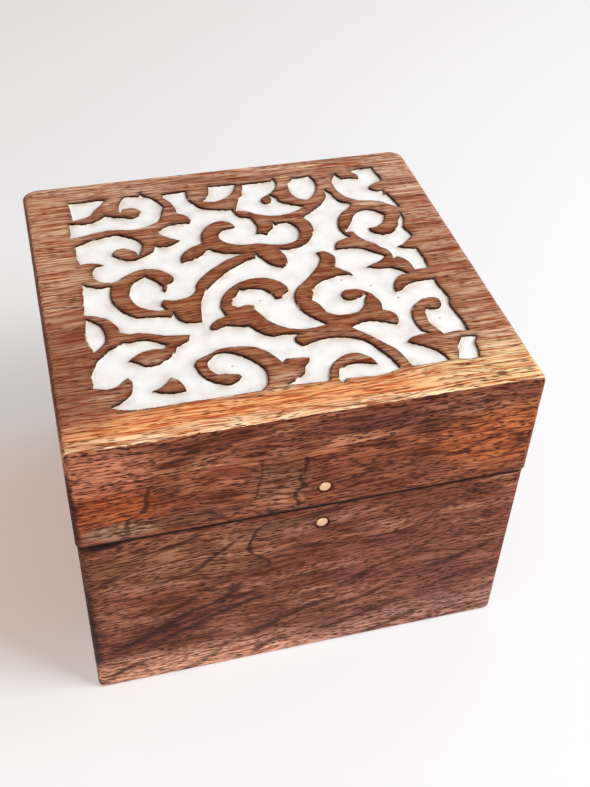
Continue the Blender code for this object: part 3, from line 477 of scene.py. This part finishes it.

# Lid frame
# Four boards like the base's, a shade redder because they come from another plank.
# Heights between which painted seam shade darkens the lid boards towards their lower edge
lid_seam_shade = (53.95, 53.45)
# The two near-black patches are painted shade: a ring round the upper pin and the lid's rounded left corner
front_patches = (
    ((3, -49, 58.9), (2.1, 4, 2.1), "230a04", 0.9), ((-47, -49, 74), (17, 20, 8), "cd8464", 0.8),
    ((-44, -49, 63), (15, 20, 7), "bf6430", 0.7), ((-41, -49, 56.5), (9, 20, 3.0), "b4947a", 0.7),
    ((-24, -49, 57), (14, 20, 3.2), "8c6450", 0.4), ((-7, -49, 62), (8, 20, 10), "9a745c", 0.5),
    ((14, -49, 60), (16, 20, 6), "955a40", 0.4), ((44, -49, 66), (17, 20, 12), "c8743e", 0.7),
    ((-51.4, -48.5, 64), (1.5, 4, 15), "3a1208", 0.85), ((25, -49, 77), (30, 20, 3.5), "7d4638", 0.6))
lid_lines = (
    (0.7, 0.8, (
        (52.9, -3.3), (54.9, -2.9), (58.5, -3.7), (61.2, -2.2), (63.5, -3.0), (66.1, -1.6), (70.6, -2.2))),
    (0.9, 0.75, (
        (53.6, -39.9), (56.9, -40.5), (59.3, -40.1), (61.3, -36.6), (65.4, -35.7), (68.1, -35.0),
        (70.5, -30.5))),
    (0.6, 0.6, ((58.0, -13.2), (59.5, -12.7), (63.2, -11.9), (66.3, -11.3), (71.5, -11.9))))
lid_front_wood = rosewood(
    "rosewood_lid_front", palette=("662c19", "905036", "bf7a56"), pore_colour="2e0b05", tilt=1.0,
    start=(130, 0, 0), warp=2.5, bands=(22, 3.5), fibres=(7, 0.5), fibre_tint="9a705c", pores=(2.4, 0.42),
    pore_share=1.5, rings=(9.0, 1.4, 50, 26, (0.5, 0, 0.85), 0.6, "43180e"), lines=lid_lines, rim=lid_seam_shade,
    patches=front_patches)
lid_side_wood = rosewood(
    "rosewood_lid_side", palette=("6d381f", "96593a", "b98461"), pore_colour="3f150c", along_y=True,
    start=(0, 430, 0), rings=side_rings, rim=lid_seam_shade)
lid_back_wood = rosewood(
    "rosewood_lid_back", palette=("693622", "8f553b", "ad765a"), pore_colour="3f150c", start=(710, 0, 0),
    rings=back_rings, rim=lid_seam_shade)
join_frame("lid", lid_front_wood, lid_back_wood, lid_side_wood)

# Carved top board
# A thick board glued on the frame, its edges rounded by hand. The scroll ornament is cut into it with
# a small gouge, which leaves ragged rims that years of polish have darkened. Painted shade darkens them
# more.
board_low, board_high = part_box("lid_top_board")
lid_top = board_high.z
edge_radius = 1.6 * mm
corner_radii = {-1: 1.5 * mm, 1: 3.2 * mm}
edge_steps, corner_steps = 8, 6
edge_pitch = 2.0 * mm
pocket_depth = 2.2 * mm


def top_plan(inset):
    """The board's outline from above, drawn in by an inset, anticlockwise from the right front corner."""
    side, front, back = board_high.x - inset, board_low.y + inset, board_high.y - inset
    corners = []
    for x, y, way, start in (
            (side, front, -1, -90), (side, back, 1, 0), (-side, back, 1, 90), (-side, front, -1, 180)):
        radius = corner_radii[way]
        centre = Vector((x - math.copysign(radius, x), y - math.copysign(radius, y)))
        turns = [math.radians(start + 90 * k / corner_steps) for k in range(corner_steps + 1)]
        corners.append([centre + radius * Vector((math.cos(a), math.sin(a))) for a in turns])
    plan = []
    for arc, following in zip(corners, corners[1:] + corners[:1]):
        plan += arc
        steps = round((board_high.x - board_low.x) / edge_pitch)
        plan += [arc[-1].lerp(following[0], k / steps) for k in range(1, steps)]
    return plan


def carved_loops():
    """The outlines of everything that is cut into the board's top, as the frame has them."""
    shape = bmesh.new()
    shape.from_mesh(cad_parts["lid_top_board"].data)
    bmesh.ops.remove_doubles(shape, verts=shape.verts, dist=weld)

    def is_top(face):
        return face.normal.z > 0.99 and abs(face.calc_center_median().z - lid_top) < 10 * weld

    ways = {}
    for rim in shape.edges:
        if sum(is_top(face) for face in rim.link_faces) == 1:
            for here, there in (rim.verts, reversed(rim.verts)):
                ways.setdefault(here.co.xy.freeze(), []).append(there.co.xy.freeze())
    shape.free()
    loops = []
    while ways:
        here, loop = next(iter(ways)), []
        while here in ways:
            loop.append(here)
            here = next((there for there in ways.pop(here) if there in ways), None)
        loops.append(loop)
    return sorted(loops, key=lambda loop: -abs(loop_area(loop)))[1:]


def loop_area(points):
    """Area inside an outline, above zero where it runs anticlockwise."""
    return sum(points[i - 1].cross(points[i]) for i in range(len(points))) / 2


carve_pitch = 0.30 * mm
corner_turn = math.radians(35)
wobble, wobble_size = 0.05 * mm, 1.4 * mm
burr, burr_size = 0.16 * mm, 0.55 * mm


def hand_cut(loop):
    """The outline as the gouge left it: smooth between its corners, and a little unsteady."""
    if loop_area(loop) < 0:
        loop = loop[::-1]
    count = len(loop)
    tangents = []
    for i, here in enumerate(loop):
        arriving, leaving = here - loop[i - 1], loop[(i + 1) % count] - here
        if abs(arriving.angle_signed(leaving, 0)) > corner_turn:
            tangents.append((arriving.normalized(), leaving.normalized()))
        else:
            both = arriving.normalized() / arriving.length + leaving.normalized() / leaving.length
            tangents.append((both.normalized(),) * 2)
    points = []
    for i, here in enumerate(loop):
        there = loop[(i + 1) % count]
        length = (there - here).length
        leave, arrive = tangents[i][1] * length, tangents[(i + 1) % count][0] * length
        steps = max(1, round(length / carve_pitch))
        for k in range(steps):
            t = k / steps
            points.append(
                here * (2 * t ** 3 - 3 * t ** 2 + 1) + leave * (t ** 3 - 2 * t ** 2 + t)
                + there * (3 * t ** 2 - 2 * t ** 3) + arrive * (t ** 3 - t ** 2))
    cut = []
    for i, here in enumerate(points):
        along = (points[(i + 1) % len(points)] - points[i - 1]).normalized()
        out = Vector((along.y, -along.x))
        torn = max(0.0, abs(out.y) - 0.2)
        shake = wobble * noise.noise(here.to_3d() / wobble_size)
        shake += burr * torn * noise.noise(here.to_3d() / burr_size + Vector((0, 0, 7)))
        cut.append(here + out * shake)
    return cut


outlines = [hand_cut(loop) for loop in carved_loops()]
edge_plan = top_plan(edge_radius)


def contains(loop, place):
    """Whether a place lies inside an outline."""
    crossings = 0
    for a, b in zip(loop, loop[1:] + loop[:1]):
        if (a.y > place.y) != (b.y > place.y):
            crossings += place.x < a.x + (place.y - a.y) * (b.x - a.x) / (b.y - a.y)
    return crossings % 2 == 1


# Each rim's points, the way from the filler to the wood at each, and what is near them
rim_points, rim_ways = [], []
between = (0, 1 / 3, 2 / 3)
near_rim = kdtree.KDTree(len(between) * sum(len(outline) for outline in outlines))
for outline in outlines:
    island = any(contains(other, outline[0]) for other in outlines if other is not outline)
    for i, here in enumerate(outline):
        there = outline[(i + 1) % len(outline)]
        along = (there - outline[i - 1]).normalized()
        for share in between:
            near_rim.insert(here.lerp(there, share).to_3d(), len(rim_points))
        rim_points.append(here)
        rim_ways.append(Vector((-along.y, along.x)) if island else Vector((along.y, -along.x)))
near_rim.balance()


def hexagonal(low, high, pitch):
    """Evenly spread points over a rectangle, in staggered rows."""
    rise = pitch * math.sqrt(3) / 2
    rows, columns = int((high.y - low.y) / rise) + 1, int((high.x - low.x) / pitch) + 1
    return [Vector((low.x + (i + 0.5 * (j % 2)) * pitch, low.y + j * rise))
            for j in range(rows) for i in range(columns)]


# Points for the carved surface: the outlines, rings close beside them, and an even field between
ring_steps = ((0.12 * mm, 1), (0.26 * mm, 1), (0.45 * mm, 2), (0.80 * mm, 2))
ring_room_share = 0.93
field_pitch, outer_pitch = 0.75 * mm, 2.4 * mm
field_border, field_room = 1.2 * mm, 1.0 * mm
points = list(edge_plan)
loops = [list(range(len(points)))]
for outline in outlines:
    loops.append(list(range(len(points), len(points) + len(outline))))
    points += outline
for distance, every in ring_steps:
    for here, way in list(zip(rim_points, rim_ways))[::every]:
        for beside in (here + way * distance, here - way * distance):
            if near_rim.find(beside.to_3d())[2] > ring_room_share * distance:
                points.append(beside)
border = Vector((field_border, field_border))
field_low = Vector([min(p[i] for p in rim_points) for i in (0, 1)]) - border
field_high = Vector([max(p[i] for p in rim_points) for i in (0, 1)]) + border
points += [
    p for p in hexagonal(field_low, field_high, field_pitch) if near_rim.find(p.to_3d())[2] > field_room]
margin = Vector((1, 1)) * (edge_radius + outer_pitch / 2)
points += [
    p for p in hexagonal(board_low.xy + margin, board_high.xy - margin, outer_pitch)
    if not (field_low.x < p.x < field_high.x and field_low.y < p.y < field_high.y)]

# Pinholes in the filler, in hundredths of the carved field from its left front corner
pinhole_shares = ((47.2, 38.6), (80.2, 38.6), (72.7, 43.0), (94.6, 19.4), (86.3, 31.3), (33.5, 12.0))
pinhole_radius = 0.22 * mm
carved_low = board_low.xy + Vector((11.0, 10.0)) * mm
carved_span = board_high.xy - Vector((11.0, 9.2)) * mm - carved_low
pinholes = [
    carved_low + Vector((carved_span.x * u / 100, carved_span.y * v / 100)) for u, v in pinhole_shares]
octagon = [Vector((math.cos(k * math.pi / 4), math.sin(k * math.pi / 4))) for k in range(8)]
for hole in pinholes:
    points += [hole] + [
        hole + spoke * radius for radius in (pinhole_radius, 2 * pinhole_radius) for spoke in octagon]

# The triangulation works in millimetres, where its rounding is finer
spread, _, triangles, origins, _, owners = delaunay_2d_cdt(
    [p / mm for p in points], [], loops, 0, 1e-5, True)
spread = [p * mm for p in spread]
edge_ring = {origin: k for k, found in enumerate(origins) for origin in found if origin < len(edge_plan)}
nearest = [near_rim.find(p.to_3d()) for p in spread]
rim_distance = [found[2] for found in nearest]
rim_facing = [rim_ways[found[1]] for found in nearest]
wood_triangles = []
filler_triangles = {}
for corners, owner in zip(triangles, owners):
    pockets = [k for k in owner if k > 0]
    if 0 in owner and len(pockets) % 2 == 0:
        wood_triangles.append(corners)
    elif 0 in owner:
        filler_triangles.setdefault(pockets[0], []).append(corners)


def wall_in(shape, faces, low, high):
    """Joins two levels by a wall along every edge that only one of the faces has."""
    runs = {(face[i - 1], face[i]) for face in faces for i in range(len(face))}
    for a, b in runs:
        if (b, a) not in runs:
            shape.faces.new((low[a], low[b], high[b], high[a]))


rim_wear, wear_reach = 0.15 * mm, 0.15 * mm
chip, chip_size, chip_reach = 0.10 * mm, 0.8 * mm, 0.25 * mm
wave, wave_size = 0.025 * mm, 9 * mm
soot_and_shade_reach, paint_reach = 0.9 * mm, 0.20 * mm
filler_level = lid_top - 0.50 * mm


def wood_height(k):
    """Level of the carved board's face: worn down and chipped towards a rim."""
    place, distance = spread[k].to_3d(), rim_distance[k]
    worn = rim_wear * math.exp(-(distance / wear_reach) ** 2)
    chipped = chip * max(0.0, noise.noise(place / chip_size)) * math.exp(-(distance / chip_reach) ** 2)
    return lid_top - worn - chipped + wave * (noise.noise(place / wave_size) - 1)


carved = bmesh.new()
burn_and_shade_layer, soot_and_shade_layer, paint_layer, inward_layer = [
    carved.verts.layers.float.new(name) for name in ("burn_and_shade", "soot_and_shade", "paint", "inward")]
face_points, floor_points = {}, {}
for k in {k for face in wood_triangles for k in face}:
    place, distance = spread[k].to_3d(), rim_distance[k]
    point = face_points[k] = carved.verts.new((place.x, place.y, wood_height(k)))
    to_front = rim_facing[k].y
    open_wall = rim_facing[k].dot(Vector((0.6, 0.8)))
    # Painted shade over some real darkening: a dark line along each rim, wider and darker where the pocket
    # wall faces the viewer
    burn_and_shade_reach = (0.27 + 0.10 * open_wall) * mm
    point[burn_and_shade_layer] = (0.86 + 0.14 * open_wall) * math.exp(-(distance / burn_and_shade_reach) ** 2)
    # A soft darkening of the wood beside the pockets: partly darkened wood, partly painted shade on the
    # rounded shoulders
    soot_and_shade_amount = 0.55 + 0.25 * to_front + 0.3 * noise.noise(place / (4 * mm))
    point[soot_and_shade_layer] = soot_and_shade_amount * math.exp(-distance / soot_and_shade_reach)
    ragged = 4 * noise.noise(place / (1.6 * mm) + Vector((3, 1, 4))) - 1.2 - 1.3 * open_wall
    point[paint_layer] = min(1.0, max(0.0, ragged)) * math.exp(-(distance / paint_reach) ** 2)
    inset = min(board_high.x - abs(place.x), place.y - board_low.y, board_high.y - place.y)
    point[inward_layer] = inset / mm
all_filler = [face for faces in filler_triangles.values() for face in faces]
for k in {k for face in all_filler for k in face}:
    point = floor_points[k] = carved.verts.new((spread[k].x, spread[k].y, lid_top - pocket_depth))
    # The pocket floors are coloured fully dark, so the pocket walls shade into dark: painted shade in the
    # recesses
    point[burn_and_shade_layer] = 1.0
for face in wood_triangles:
    carved.faces.new([face_points[k] for k in face])
for face in all_filler:
    carved.faces.new([floor_points[k] for k in face])
wall_in(carved, all_filler, floor_points, face_points)

# The rounded edge, from the face out and down to the foot of the board
ring = [face_points[edge_ring[i]] for i in range(len(edge_plan))]
turns = [math.radians(90 * k / edge_steps) for k in range(edge_steps - 1, -1, -1)]
levels = [(edge_radius * (1 - math.cos(a)), lid_top - edge_radius * (1 - math.sin(a))) for a in turns]
drop_steps = 4
round_foot = lid_top - edge_radius
levels += [(0, round_foot - (round_foot - board_low.z) * k / drop_steps) for k in range(1, drop_steps + 1)]
sanding, sanding_size = 0.10 * mm, 6 * mm
for inset, height in levels:
    following = []
    for place in top_plan(inset):
        pressed = sanding * (noise.noise(Vector((place.x, place.y, height)) / sanding_size) + 1) / 2
        towards_middle = -place.normalized()
        point = carved.verts.new((*(place + towards_middle * pressed), height))
        point[inward_layer] = (inset - lid_top + height) / mm
        following.append(point)
    for i in range(len(ring)):
        carved.faces.new((ring[i - 1], ring[i], following[i], following[i - 1]))
    ring = following
carved.faces.new(ring)
carved_mesh = closed_mesh(carved, "carved_top", sharp_turn)


def marked(add, tone, marks):
    """A colour with the marks on it that the mesh carries as attributes, each in its own tint."""
    for mark, tint in marks:
        amount = add("ShaderNodeAttribute", attribute_name=mark).outputs["Fac"]
        tone = add("ShaderNodeMix", {0: amount, 6: tone, 7: linear(tint)}, data_type="RGBA").outputs[2]
    return tone


# The face shows a calmer, golden side of the plank, and the edges the dark one, full of open pores
top_wood, add = new_material("rosewood_carved_top")
place = add("ShaderNodeTexCoord").outputs["Object"]
# Painted light among the patches: a highlight on the plank's own golden tone along the front of the face,
# brightest in a line near the arris and at the right front corner; a pale reflection on the border at the
# back left; and a line of shade where the left edge begins to round
face_patches = (
    ((0, -4, 81), (56, 44, 20), "a5663e", 0.85), ((-2, -46.5, 81), (90, 9, 20), "ffb878", 0.95),
    ((-14, -48.6, 81), (80, 3.4, 20), "ffdcae", 0.95), ((40, -42, 81), (20, 9, 20), "ffe0a6", 0.8),
    ((-48, -26, 81), (12, 22, 20), "9c6244", 0.8), ((-48, 22, 81), (10, 30, 20), "e2b48c", 0.5),
    ((42.1, -45.4, 81), (1.5, 0.9, 20), "5a2410", 0.8), ((36, -41, 81), (0.8, 0.5, 20), "5a2410", 0.8),
    ((-51.0, 2, 81), (0.5, 70, 2), "5e2c18", 0.75), ((51.5, 0, 70.5), (1.7, 120, 11), "7c452e", 0.9),
    ((-51.5, 0, 70.5), (1.7, 120, 11), "7c452e", 0.9))
face_tone, face_relief = grain(
    add, place, palette=("a06c4e", "d0a588", "eccfae"), pore_colour="4a1d0e", start=(50, 0, 0), warp=1.6,
    bands=(30, 2.2), fibres=(10, 0.44), fibre_tint="c07850", pores=(2.8, 0.30), pore_share=0.5,
    rings=(2.6, 0.35, 14, 26, (0.06, 1, 0), 0.75, "74351a"), patches=face_patches)
edge_tone, edge_relief = grain(
    add, place, palette=("602c1b", "93563c", "c48462"), pore_colour="260a05", tilt=1.0, start=(130, 0, 0),
    warp=2.5, bands=(22, 3.0), fibres=(7, 0.5), fibre_tint="8e6450", pores=(2.2, 0.46), pore_share=1.3,
    patches=front_patches)
inward = add("ShaderNodeAttribute", attribute_name="inward").outputs["Fac"]
apart = add("ShaderNodeSeparateXYZ", {0: place})
uneven = add("ShaderNodeTexNoise", {"Vector": place, "Scale": 1 / (1.8 * mm), "Detail": 4.0})
creep = add("ShaderNodeMapRange", {
    "Value": apart.outputs["X"], "From Min": -30 * mm, "From Max": 25 * mm, "To Min": -1.4, "To Max": 0.1})
border = add("ShaderNodeMath", {0: uneven, 1: 3.2, 2: creep}, operation="MULTIPLY_ADD")
behind = add("ShaderNodeMapRange", {
    "Value": apart.outputs["Y"], "From Min": -48.5 * mm, "From Max": -46 * mm, "To Max": 14.0})
reach = add("ShaderNodeMath", {0: inward, 1: behind}, operation="ADD")
beyond = add("ShaderNodeMath", {0: reach, 1: border}, operation="SUBTRACT")
on_face = add("ShaderNodeMapRange", {"Value": beyond, "From Min": -0.12, "From Max": 0.12})
tone = add("ShaderNodeMix", {0: on_face, 6: edge_tone, 7: face_tone}, data_type="RGBA").outputs[2]
relief = add("ShaderNodeMix", {0: on_face, 2: edge_relief, 3: face_relief})
# The rim line and the soft darkening beside it are partly painted shade; the cream is filler smeared on the
# wood
tone = marked(add, tone, (("soot_and_shade", "4c2010"), ("burn_and_shade", "1c0803"), ("paint", "efdcc0")))
waxed(add, tone, relief, 0.5)
set_out("carved_top", carved_mesh, "lid", "lid_wood", top_wood, "lid_top_board")

# White scroll inlay
# Bone-white filler pressed into the carved pockets and rubbed down below the wood. It shrank a little
# as it set, so it is dished, climbs the rims in ragged cream edges, and has a few pinholes.
# Painted shade lies in the filler along its rims
filler, add = new_material("bone_white_filler")
place = add("ShaderNodeTexCoord").outputs["Object"]
cloud = add("ShaderNodeTexNoise", {"Vector": place, "Scale": 1 / (5 * mm), "Detail": 3.0})
cloudy = add("ShaderNodeMapRange", {"Value": cloud, "From Min": 0.50, "From Max": 0.75})
tone = add("ShaderNodeMix", {
    0: cloudy, 6: linear("fbfbf8"), 7: linear("efebe4")}, data_type="RGBA").outputs[2]
tone = marked(add, tone, (("shadow", "b4947e"), ("cream", "ecd6ae"), ("dark_pinhole", "2e2019")))
scrape = add("ShaderNodeTexNoise", {"Vector": place, "Scale": 1 / (0.6 * mm), "Detail": 3.0})
rubbed = add("ShaderNodeBump", {"Height": scrape, "Strength": 0.35, "Distance": 0.08 * mm})
chalky = add("ShaderNodeBsdfPrincipled", {
    "Base Color": tone, "Roughness": 0.6, "Specular IOR Level": 0.2, "Normal": rubbed})
add("ShaderNodeOutputMaterial", {"Surface": chalky})

filler_turn = math.radians(60)
bite = 0.04 * mm
dish, dish_reach = 0.16 * mm, 2.2 * mm
ripple, ripple_size = 0.07 * mm, 2.6 * mm
climb_reach, pit_depth = 0.16 * mm, 0.25 * mm
cream_reach, shadow_reach = 0.20 * mm, 1.15 * mm
underside = lid_top - pocket_depth + 0.1 * mm
inlay_nodes = [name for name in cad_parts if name.startswith("inlay_")]
inlay_centres = {name: sum(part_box(name), Vector()) / 2 for name in inlay_nodes}


def filler_height(k):
    """Level of the filler: dished between its rims, and drawn up the wood where it meets it."""
    place, distance = spread[k].to_3d(), rim_distance[k]
    towards_back_left = max(0.0, rim_facing[k].dot(Vector((-0.6, 0.8))))
    climb = (0.05 + 0.16 * towards_back_left + 0.20 * noise.noise(place / (1.2 * mm))) * mm
    dished = dish * min(1.0, distance / dish_reach)
    uneven = ripple * noise.noise(place / ripple_size)
    pit = pit_depth * max(0.0, *[1 - (spread[k] - hole).length / (2 * pinhole_radius) for hole in pinholes])
    return filler_level - dished + uneven + climb * math.exp(-distance / climb_reach) - pit


for faces in filler_triangles.values():
    used = {k for face in faces for k in face}
    places = [spread[k] for k in used]
    middle = Vector([(min(p[i] for p in places) + max(p[i] for p in places)) / 2 for i in (0, 1)])
    node = min(inlay_nodes, key=lambda name: (inlay_centres[name].xy - middle).length)
    scroll = bmesh.new()
    shadow_layer, cream_layer, dark_pinhole_layer = [
        scroll.verts.layers.float.new(name) for name in ("shadow", "cream", "dark_pinhole")]
    upper, lower = {}, {}
    for k in used:
        place = (spread[k] + rim_facing[k] * (bite if rim_distance[k] < weld else 0)).to_3d()
        point = upper[k] = scroll.verts.new((place.x, place.y, filler_height(k)))
        to_back = rim_facing[k].y
        ragged = 0.3 + 0.35 * to_back - 0.35 * rim_facing[k].x + 1.6 * noise.noise(place / (0.9 * mm))
        point[cream_layer] = min(1.0, max(0.0, ragged)) * math.exp(-(rim_distance[k] / cream_reach) ** 2)
        # Painted shade in the filler near its rims, stronger where the wood stands behind it
        painted_shade_amount = 0.40 + 0.14 * to_back + 0.7 * noise.noise(place / (3.5 * mm) + Vector((5, 0, 2)))
        point[shadow_layer] = min(0.75, max(0.0, painted_shade_amount)) * math.exp(-rim_distance[k] / shadow_reach)
        # The pinholes are coloured darker
        point[dark_pinhole_layer] = max(
            0.0, *[1 - (spread[k] - hole).length / pinhole_radius * 0.7 for hole in pinholes])
        lower[k] = scroll.verts.new((place.x, place.y, underside))
    for level in (upper, lower):
        for face in faces:
            scroll.faces.new([level[k] for k in face])
    wall_in(scroll, faces, lower, upper)
    name = "white_" + node.removeprefix("inlay_")
    set_out(name, closed_mesh(scroll, name, filler_turn), "lid", "white_inlay", filler, node)

# Lid felt
# The same black felt, glued under the top board.
lay_felt("lid_felt", "lid_lining", "lid")

# Hinges
# Two small brass butt hinges let into the rims of the back boards, with dulled, rolled knuckles.
# Tarnish has browned it in patches, where it has also lost its gloss
brass, add = new_material("dulled_brass")
place = add("ShaderNodeTexCoord").outputs["Object"]
tarnish = add("ShaderNodeTexNoise", {"Vector": place, "Scale": 1 / (2.5 * mm), "Detail": 3.0})
tone = add("ShaderNodeMix", {
    0: tarnish, 6: linear("b98a4c"), 7: linear("e2bf85")}, data_type="RGBA").outputs[2]
rough = add("ShaderNodeMapRange", {"Value": tarnish, "To Min": 0.42, "To Max": 0.24})
rolled = add("ShaderNodeBsdfPrincipled", {"Base Color": tone, "Metallic": 1.0, "Roughness": rough})
add("ShaderNodeOutputMaterial", {"Surface": rolled})
metal_edge = 0.12 * mm
for hand in ("left", "right"):
    for level, body in (("lower", "base"), ("upper", "lid")):
        eased_copy(f"{hand}_hinge_{level}_leaf", f"{hand}_{level}_leaf", body, "brass", brass, metal_edge)
    eased_copy(f"{hand}_hinge_pin", f"{hand}_hinge_rod", "base", "brass", brass, metal_edge)

# Hinge screws
# Countersunk slotted brass wood screws, 6 mm long, two to a leaf, each stopped with its slot at
# another angle.
screws = bpy.data.node_groups.new("countersunk_screws", "GeometryNodeTree")
screw_sizes = (
    ("Hinge Spacing", 56.21 * mm), ("Screw Spacing", 10.0 * mm), ("Row Y", 43.2 * mm),
    ("Row Z", 52.85 * mm), ("Facing", 0.0), ("Head Radius", 1.2 * mm), ("Head Depth", 0.6 * mm),
    ("Core Radius", 0.5 * mm), ("Thread Radius", 0.1 * mm), ("Thread Pitch", 0.7 * mm),
    ("Length", 6.0 * mm), ("Slot Width", 0.35 * mm), ("Slot Depth", 0.25 * mm))
for name, value in screw_sizes:
    screws.interface.new_socket(name, in_out="INPUT", socket_type="NodeSocketFloat").default_value = value
screws.interface.new_socket("Brass", in_out="INPUT", socket_type="NodeSocketMaterial")
screws.interface.new_socket("Geometry", in_out="OUTPUT", socket_type="NodeSocketGeometry")
make = partial(add_node, screws)
given = make("NodeGroupInput").outputs


def taper(start, depth, wide, narrow):
    """A turned length of the screw, from its head's side towards its tip."""
    cone = make("GeometryNodeMeshCone", {
        "Vertices": 28, "Radius Top": narrow, "Radius Bottom": wide, "Depth": depth})
    up = make("ShaderNodeCombineXYZ", {"Z": start})
    return make("GeometryNodeTransform", {"Geometry": cone, "Translation": up})


core_radius, head_depth = given["Core Radius"], given["Head Depth"]
tip_radius = 0.02 * mm
# Each turned length starts a little inside the one before it
sunk = 0.02 * mm
core_start = make("ShaderNodeMath", {0: head_depth, 1: sunk}, operation="SUBTRACT")
tip_start = make("ShaderNodeMath", {0: given["Length"], 1: core_radius}, operation="SUBTRACT")
core_length = make("ShaderNodeMath", {0: tip_start, 1: core_start}, operation="SUBTRACT")
head = taper(0.0, head_depth, given["Head Radius"], core_radius)
core = taper(core_start, core_length, core_radius, core_radius)
sunk_tip = make("ShaderNodeMath", {0: tip_start, 1: sunk}, operation="SUBTRACT")
tip_length = make("ShaderNodeMath", {0: core_radius, 1: sunk}, operation="ADD")
tip = taper(sunk_tip, tip_length, core_radius, tip_radius)

# The slot is cut right across the head, half of the cutter standing above it
slot_length = make("ShaderNodeMath", {0: given["Head Radius"], 1: 3.0}, operation="MULTIPLY")
slot_height = make("ShaderNodeMath", {0: given["Slot Depth"], 1: 2.0}, operation="MULTIPLY")
slot_size = make("ShaderNodeCombineXYZ", {"X": slot_length, "Y": given["Slot Width"], "Z": slot_height})
slot_cutter = make("GeometryNodeMeshCube", {"Size": slot_size})
slotted = make("GeometryNodeMeshBoolean", {"Mesh 1": head, "Mesh 2": slot_cutter}, operation="DIFFERENCE")

# The thread runs from below the head to the tip
thread_start = make("ShaderNodeMath", {0: head_depth, 1: 2.0}, operation="MULTIPLY")
thread_length = make("ShaderNodeMath", {0: tip_start, 1: thread_start}, operation="SUBTRACT")
turns = make("ShaderNodeMath", {0: thread_length, 1: given["Thread Pitch"]}, operation="DIVIDE")
helix = make("GeometryNodeCurveSpiral", {
    "Resolution": 20, "Rotations": turns, "Start Radius": core_radius, "End Radius": core_radius,
    "Height": thread_length})
wire = make("GeometryNodeCurvePrimitiveCircle", {"Resolution": 4, "Radius": given["Thread Radius"]})
thread = make("GeometryNodeCurveToMesh", {"Curve": helix, "Profile Curve": wire, "Fill Caps": True})
thread_place = make("ShaderNodeCombineXYZ", {"Z": thread_start})
thread = make("GeometryNodeTransform", {"Geometry": thread, "Translation": thread_place})
whole = make("GeometryNodeJoinGeometry")
for part in (slotted, core, tip, thread):
    screws.links.new(part.outputs[0], whole.inputs[0])


def pair(spacing):
    """Two points along X, the same distance to either side of the middle."""
    offset = make("ShaderNodeCombineXYZ", {"X": spacing})
    start = make("ShaderNodeVectorMath", {0: offset, "Scale": -0.5}, operation="SCALE")
    return make("GeometryNodeMeshLine", {"Count": 2, "Start Location": start, "Offset": offset})


most_turn = 0.7
rows = make("GeometryNodeInstanceOnPoints", {
    "Points": pair(given["Hinge Spacing"]), "Instance": pair(given["Screw Spacing"])})
spots = make("GeometryNodeRealizeInstances", {"Geometry": rows})
stopped = make("FunctionNodeRandomValue", {
    "Min": (0, 0, -most_turn), "Max": (0, 0, most_turn), "Seed": 4}, data_type="FLOAT_VECTOR")
driven = make("GeometryNodeInstanceOnPoints", {"Points": spots, "Instance": whole, "Rotation": stopped})
facing = make("ShaderNodeCombineXYZ", {"X": given["Facing"]})
row = make("ShaderNodeCombineXYZ", {"Y": given["Row Y"], "Z": given["Row Z"]})
laid_out = make("GeometryNodeTransform", {"Geometry": driven, "Translation": row, "Rotation": facing})
solid = make("GeometryNodeRealizeInstances", {"Geometry": laid_out})
finished = make("GeometryNodeSetMaterial", {"Geometry": solid, "Material": given["Brass"]})
make("NodeGroupOutput", {"Geometry": finished})
sockets = {item.name: item.identifier for item in screws.interface.items_tree if item.in_out == "INPUT"}

for level, body, height, turned_by in (
        ("lower", "base", 52.85 * mm, math.pi), ("upper", "lid", 53.35 * mm, 0.0)):
    name = level + "_hinge_screws"
    carrier = new_object(name + "_rough", bpy.data.meshes.new(name + "_rough"))
    spread_out = carrier.modifiers.new("screws", "NODES")
    spread_out.node_group = screws
    for socket, value in (("Row Z", height), ("Facing", turned_by), ("Brass", brass)):
        spread_out[sockets[socket]] = value
    set_out(name, made_from(carrier, name), body, "brass", brass,
            *[f"{hand}_hinge_{level}_screw_{k}" for hand in ("left", "right") for k in (1, 2)])

# Catch
# Two brass pins with domed heads on the front, and the spring strip between them inside.
# Fingers keep the pins bright, so they mirror the pale room softly
pin_brass, add = new_material("polished_pin_brass")
gloss = add("ShaderNodeBsdfPrincipled", {"Base Color": linear("eec29c"), "Metallic": 1.0, "Roughness": 0.3})
add("ShaderNodeOutputMaterial", {"Surface": gloss})
eased_copy("catch_pin", "upper_pin", "lid", "brass", pin_brass, metal_edge)
eased_copy("strike_pin", "lower_pin", "base", "brass", pin_brass, metal_edge)
eased_copy("catch_spring", "spring_strip", "lid", "brass", brass, metal_edge)
